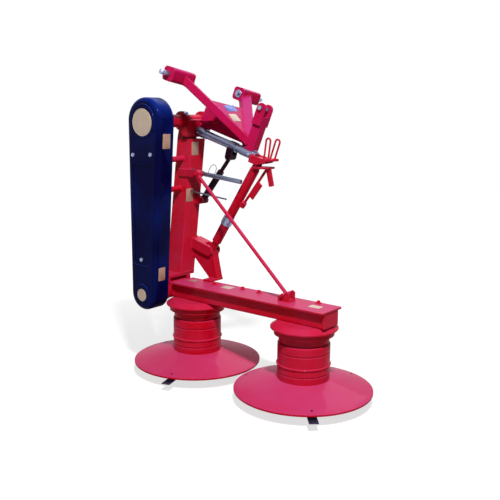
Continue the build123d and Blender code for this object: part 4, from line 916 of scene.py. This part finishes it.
class MOWER_OT_stage(bpy.types.Operator):
    """Set the floor, the soft studio light and the photograph's camera"""
    bl_idname = "mower.stage"
    bl_label = "Studio"

    floor_half = 30.0  # metres
    aim_height = 0.7  # of the point that the lamps look at, in metres
    # name, place from the drums' middle, width in metres, power in watts
    lamps = (
        ("key_light", (2.6, -2.6, 5.4), 0.45, 385),
        ("fill_light", (-3.8, -2.6, 2.4), 3.0, 16),
        ("back_light", (-1.5, 4.0, 4.0), 3.0, 75),
    )

    def execute(self, context):
        scene = context.scene
        mid = drum_mid()
        self.floor(scene)
        for name, place, width, power in self.lamps:
            lamp = bpy.data.lights.new(name, "AREA")
            lamp.size = width
            lamp.energy = power
            start = mid + Vector(place)
            aim = mid + UP * self.aim_height
            self.hold(scene, name, lamp).matrix_world = stand(start, start - aim)
        self.sky(scene)
        camera = bpy.data.cameras.new("photo_camera")
        camera.lens = CAMERA_LENS
        camera.sensor_width = CAMERA_SENSOR
        scene.camera = self.hold(scene, "photo_camera", camera)
        back = CAMERA_RIGHT.cross(CAMERA_UP)
        turn = Matrix((CAMERA_RIGHT, CAMERA_UP, back)).transposed().to_4x4()
        scene.camera.matrix_world = Matrix.Translation(mid + CAMERA_PLACE) @ turn
        scene.view_settings.view_transform = "Standard"
        return {"FINISHED"}

    def hold(self, scene, name, data):
        """Object in the scene that holds a mesh, lamp or camera."""
        holder = bpy.data.objects.new(name, data)
        scene.collection.objects.link(holder)
        return holder

    def floor(self, scene):
        """Wide flat sheet of studio paper."""
        bm = bmesh.new()
        bmesh.ops.create_grid(bm, x_segments=8, y_segments=8, size=self.floor_half)
        mesh = bpy.data.meshes.new("floor")
        bm.to_mesh(mesh)
        bm.free()
        studio_paper("studio_paper", scene.mower_colours.floor, PAPER_SHADE)
        mesh.materials.append(bpy.data.materials["studio_paper"])
        floor = self.hold(scene, "floor", mesh)

    def sky(self, scene):
        """Pale even surroundings, white to the camera and in reflections."""
        world = bpy.data.worlds.new("studio")
        scene.world = world
        world.use_nodes = True
        tree = world.node_tree
        tree.nodes.clear()
        level = add_node(tree, "ShaderNodeMapRange", {
            "Value": shown_rays(tree), "To Min": 0.14, "To Max": 1.0})
        air = add_node(tree, "ShaderNodeBackground", {"Color": (1, 1, 1, 1), "Strength": level.outputs[0]})
        output = tree.nodes.new("ShaderNodeOutputWorld")
        tree.links.new(air.outputs[0], output.inputs["Surface"])


STEPS = (
    MOWER_OT_finishes, MOWER_OT_guard_trim, MOWER_OT_labels, MOWER_OT_bolts, MOWER_OT_plate_bolts,
    MOWER_OT_splined_input, MOWER_OT_fittings, MOWER_OT_welds, MOWER_OT_stage,
)


class MOWER_PT_dressing(bpy.types.Panel):
    """Lists the dressing's steps and settings"""
    bl_label = "Drum mower"
    bl_idname = "MOWER_PT_dressing"
    bl_space_type = "VIEW_3D"
    bl_region_type = "UI"
    bl_category = "Mower"

    def draw(self, context):
        for step in STEPS:
            self.layout.operator(step.bl_idname)
        for settings in (context.scene.mower_sizes, context.scene.mower_colours):
            for key in settings.__annotations__:
                self.layout.prop(settings, key)


CLASSES = (MowerColours, MowerSizes, *STEPS, MOWER_PT_dressing)


def register():
    """Register the classes and hang the settings on the scene."""
    for cls in CLASSES:
        bpy.utils.register_class(cls)
    bpy.types.Scene.mower_colours = PointerProperty(type=MowerColours)
    bpy.types.Scene.mower_sizes = PointerProperty(type=MowerSizes)


def unregister():
    """Take the settings off the scene and unregister the classes."""
    del bpy.types.Scene.mower_sizes
    del bpy.types.Scene.mower_colours
    for cls in reversed(CLASSES):
        bpy.utils.unregister_class(cls)


def main():
    """Dress the mower step by step."""
    register()
    bpy.ops.mower.finishes()
    bpy.ops.mower.guard_trim()
    bpy.ops.mower.labels()
    bpy.ops.mower.bolts()
    bpy.ops.mower.plate_bolts()
    bpy.ops.mower.splined_input()
    bpy.ops.mower.fittings()
    bpy.ops.mower.welds()
    bpy.ops.mower.stage()


if __name__ == "__main__":
    main()
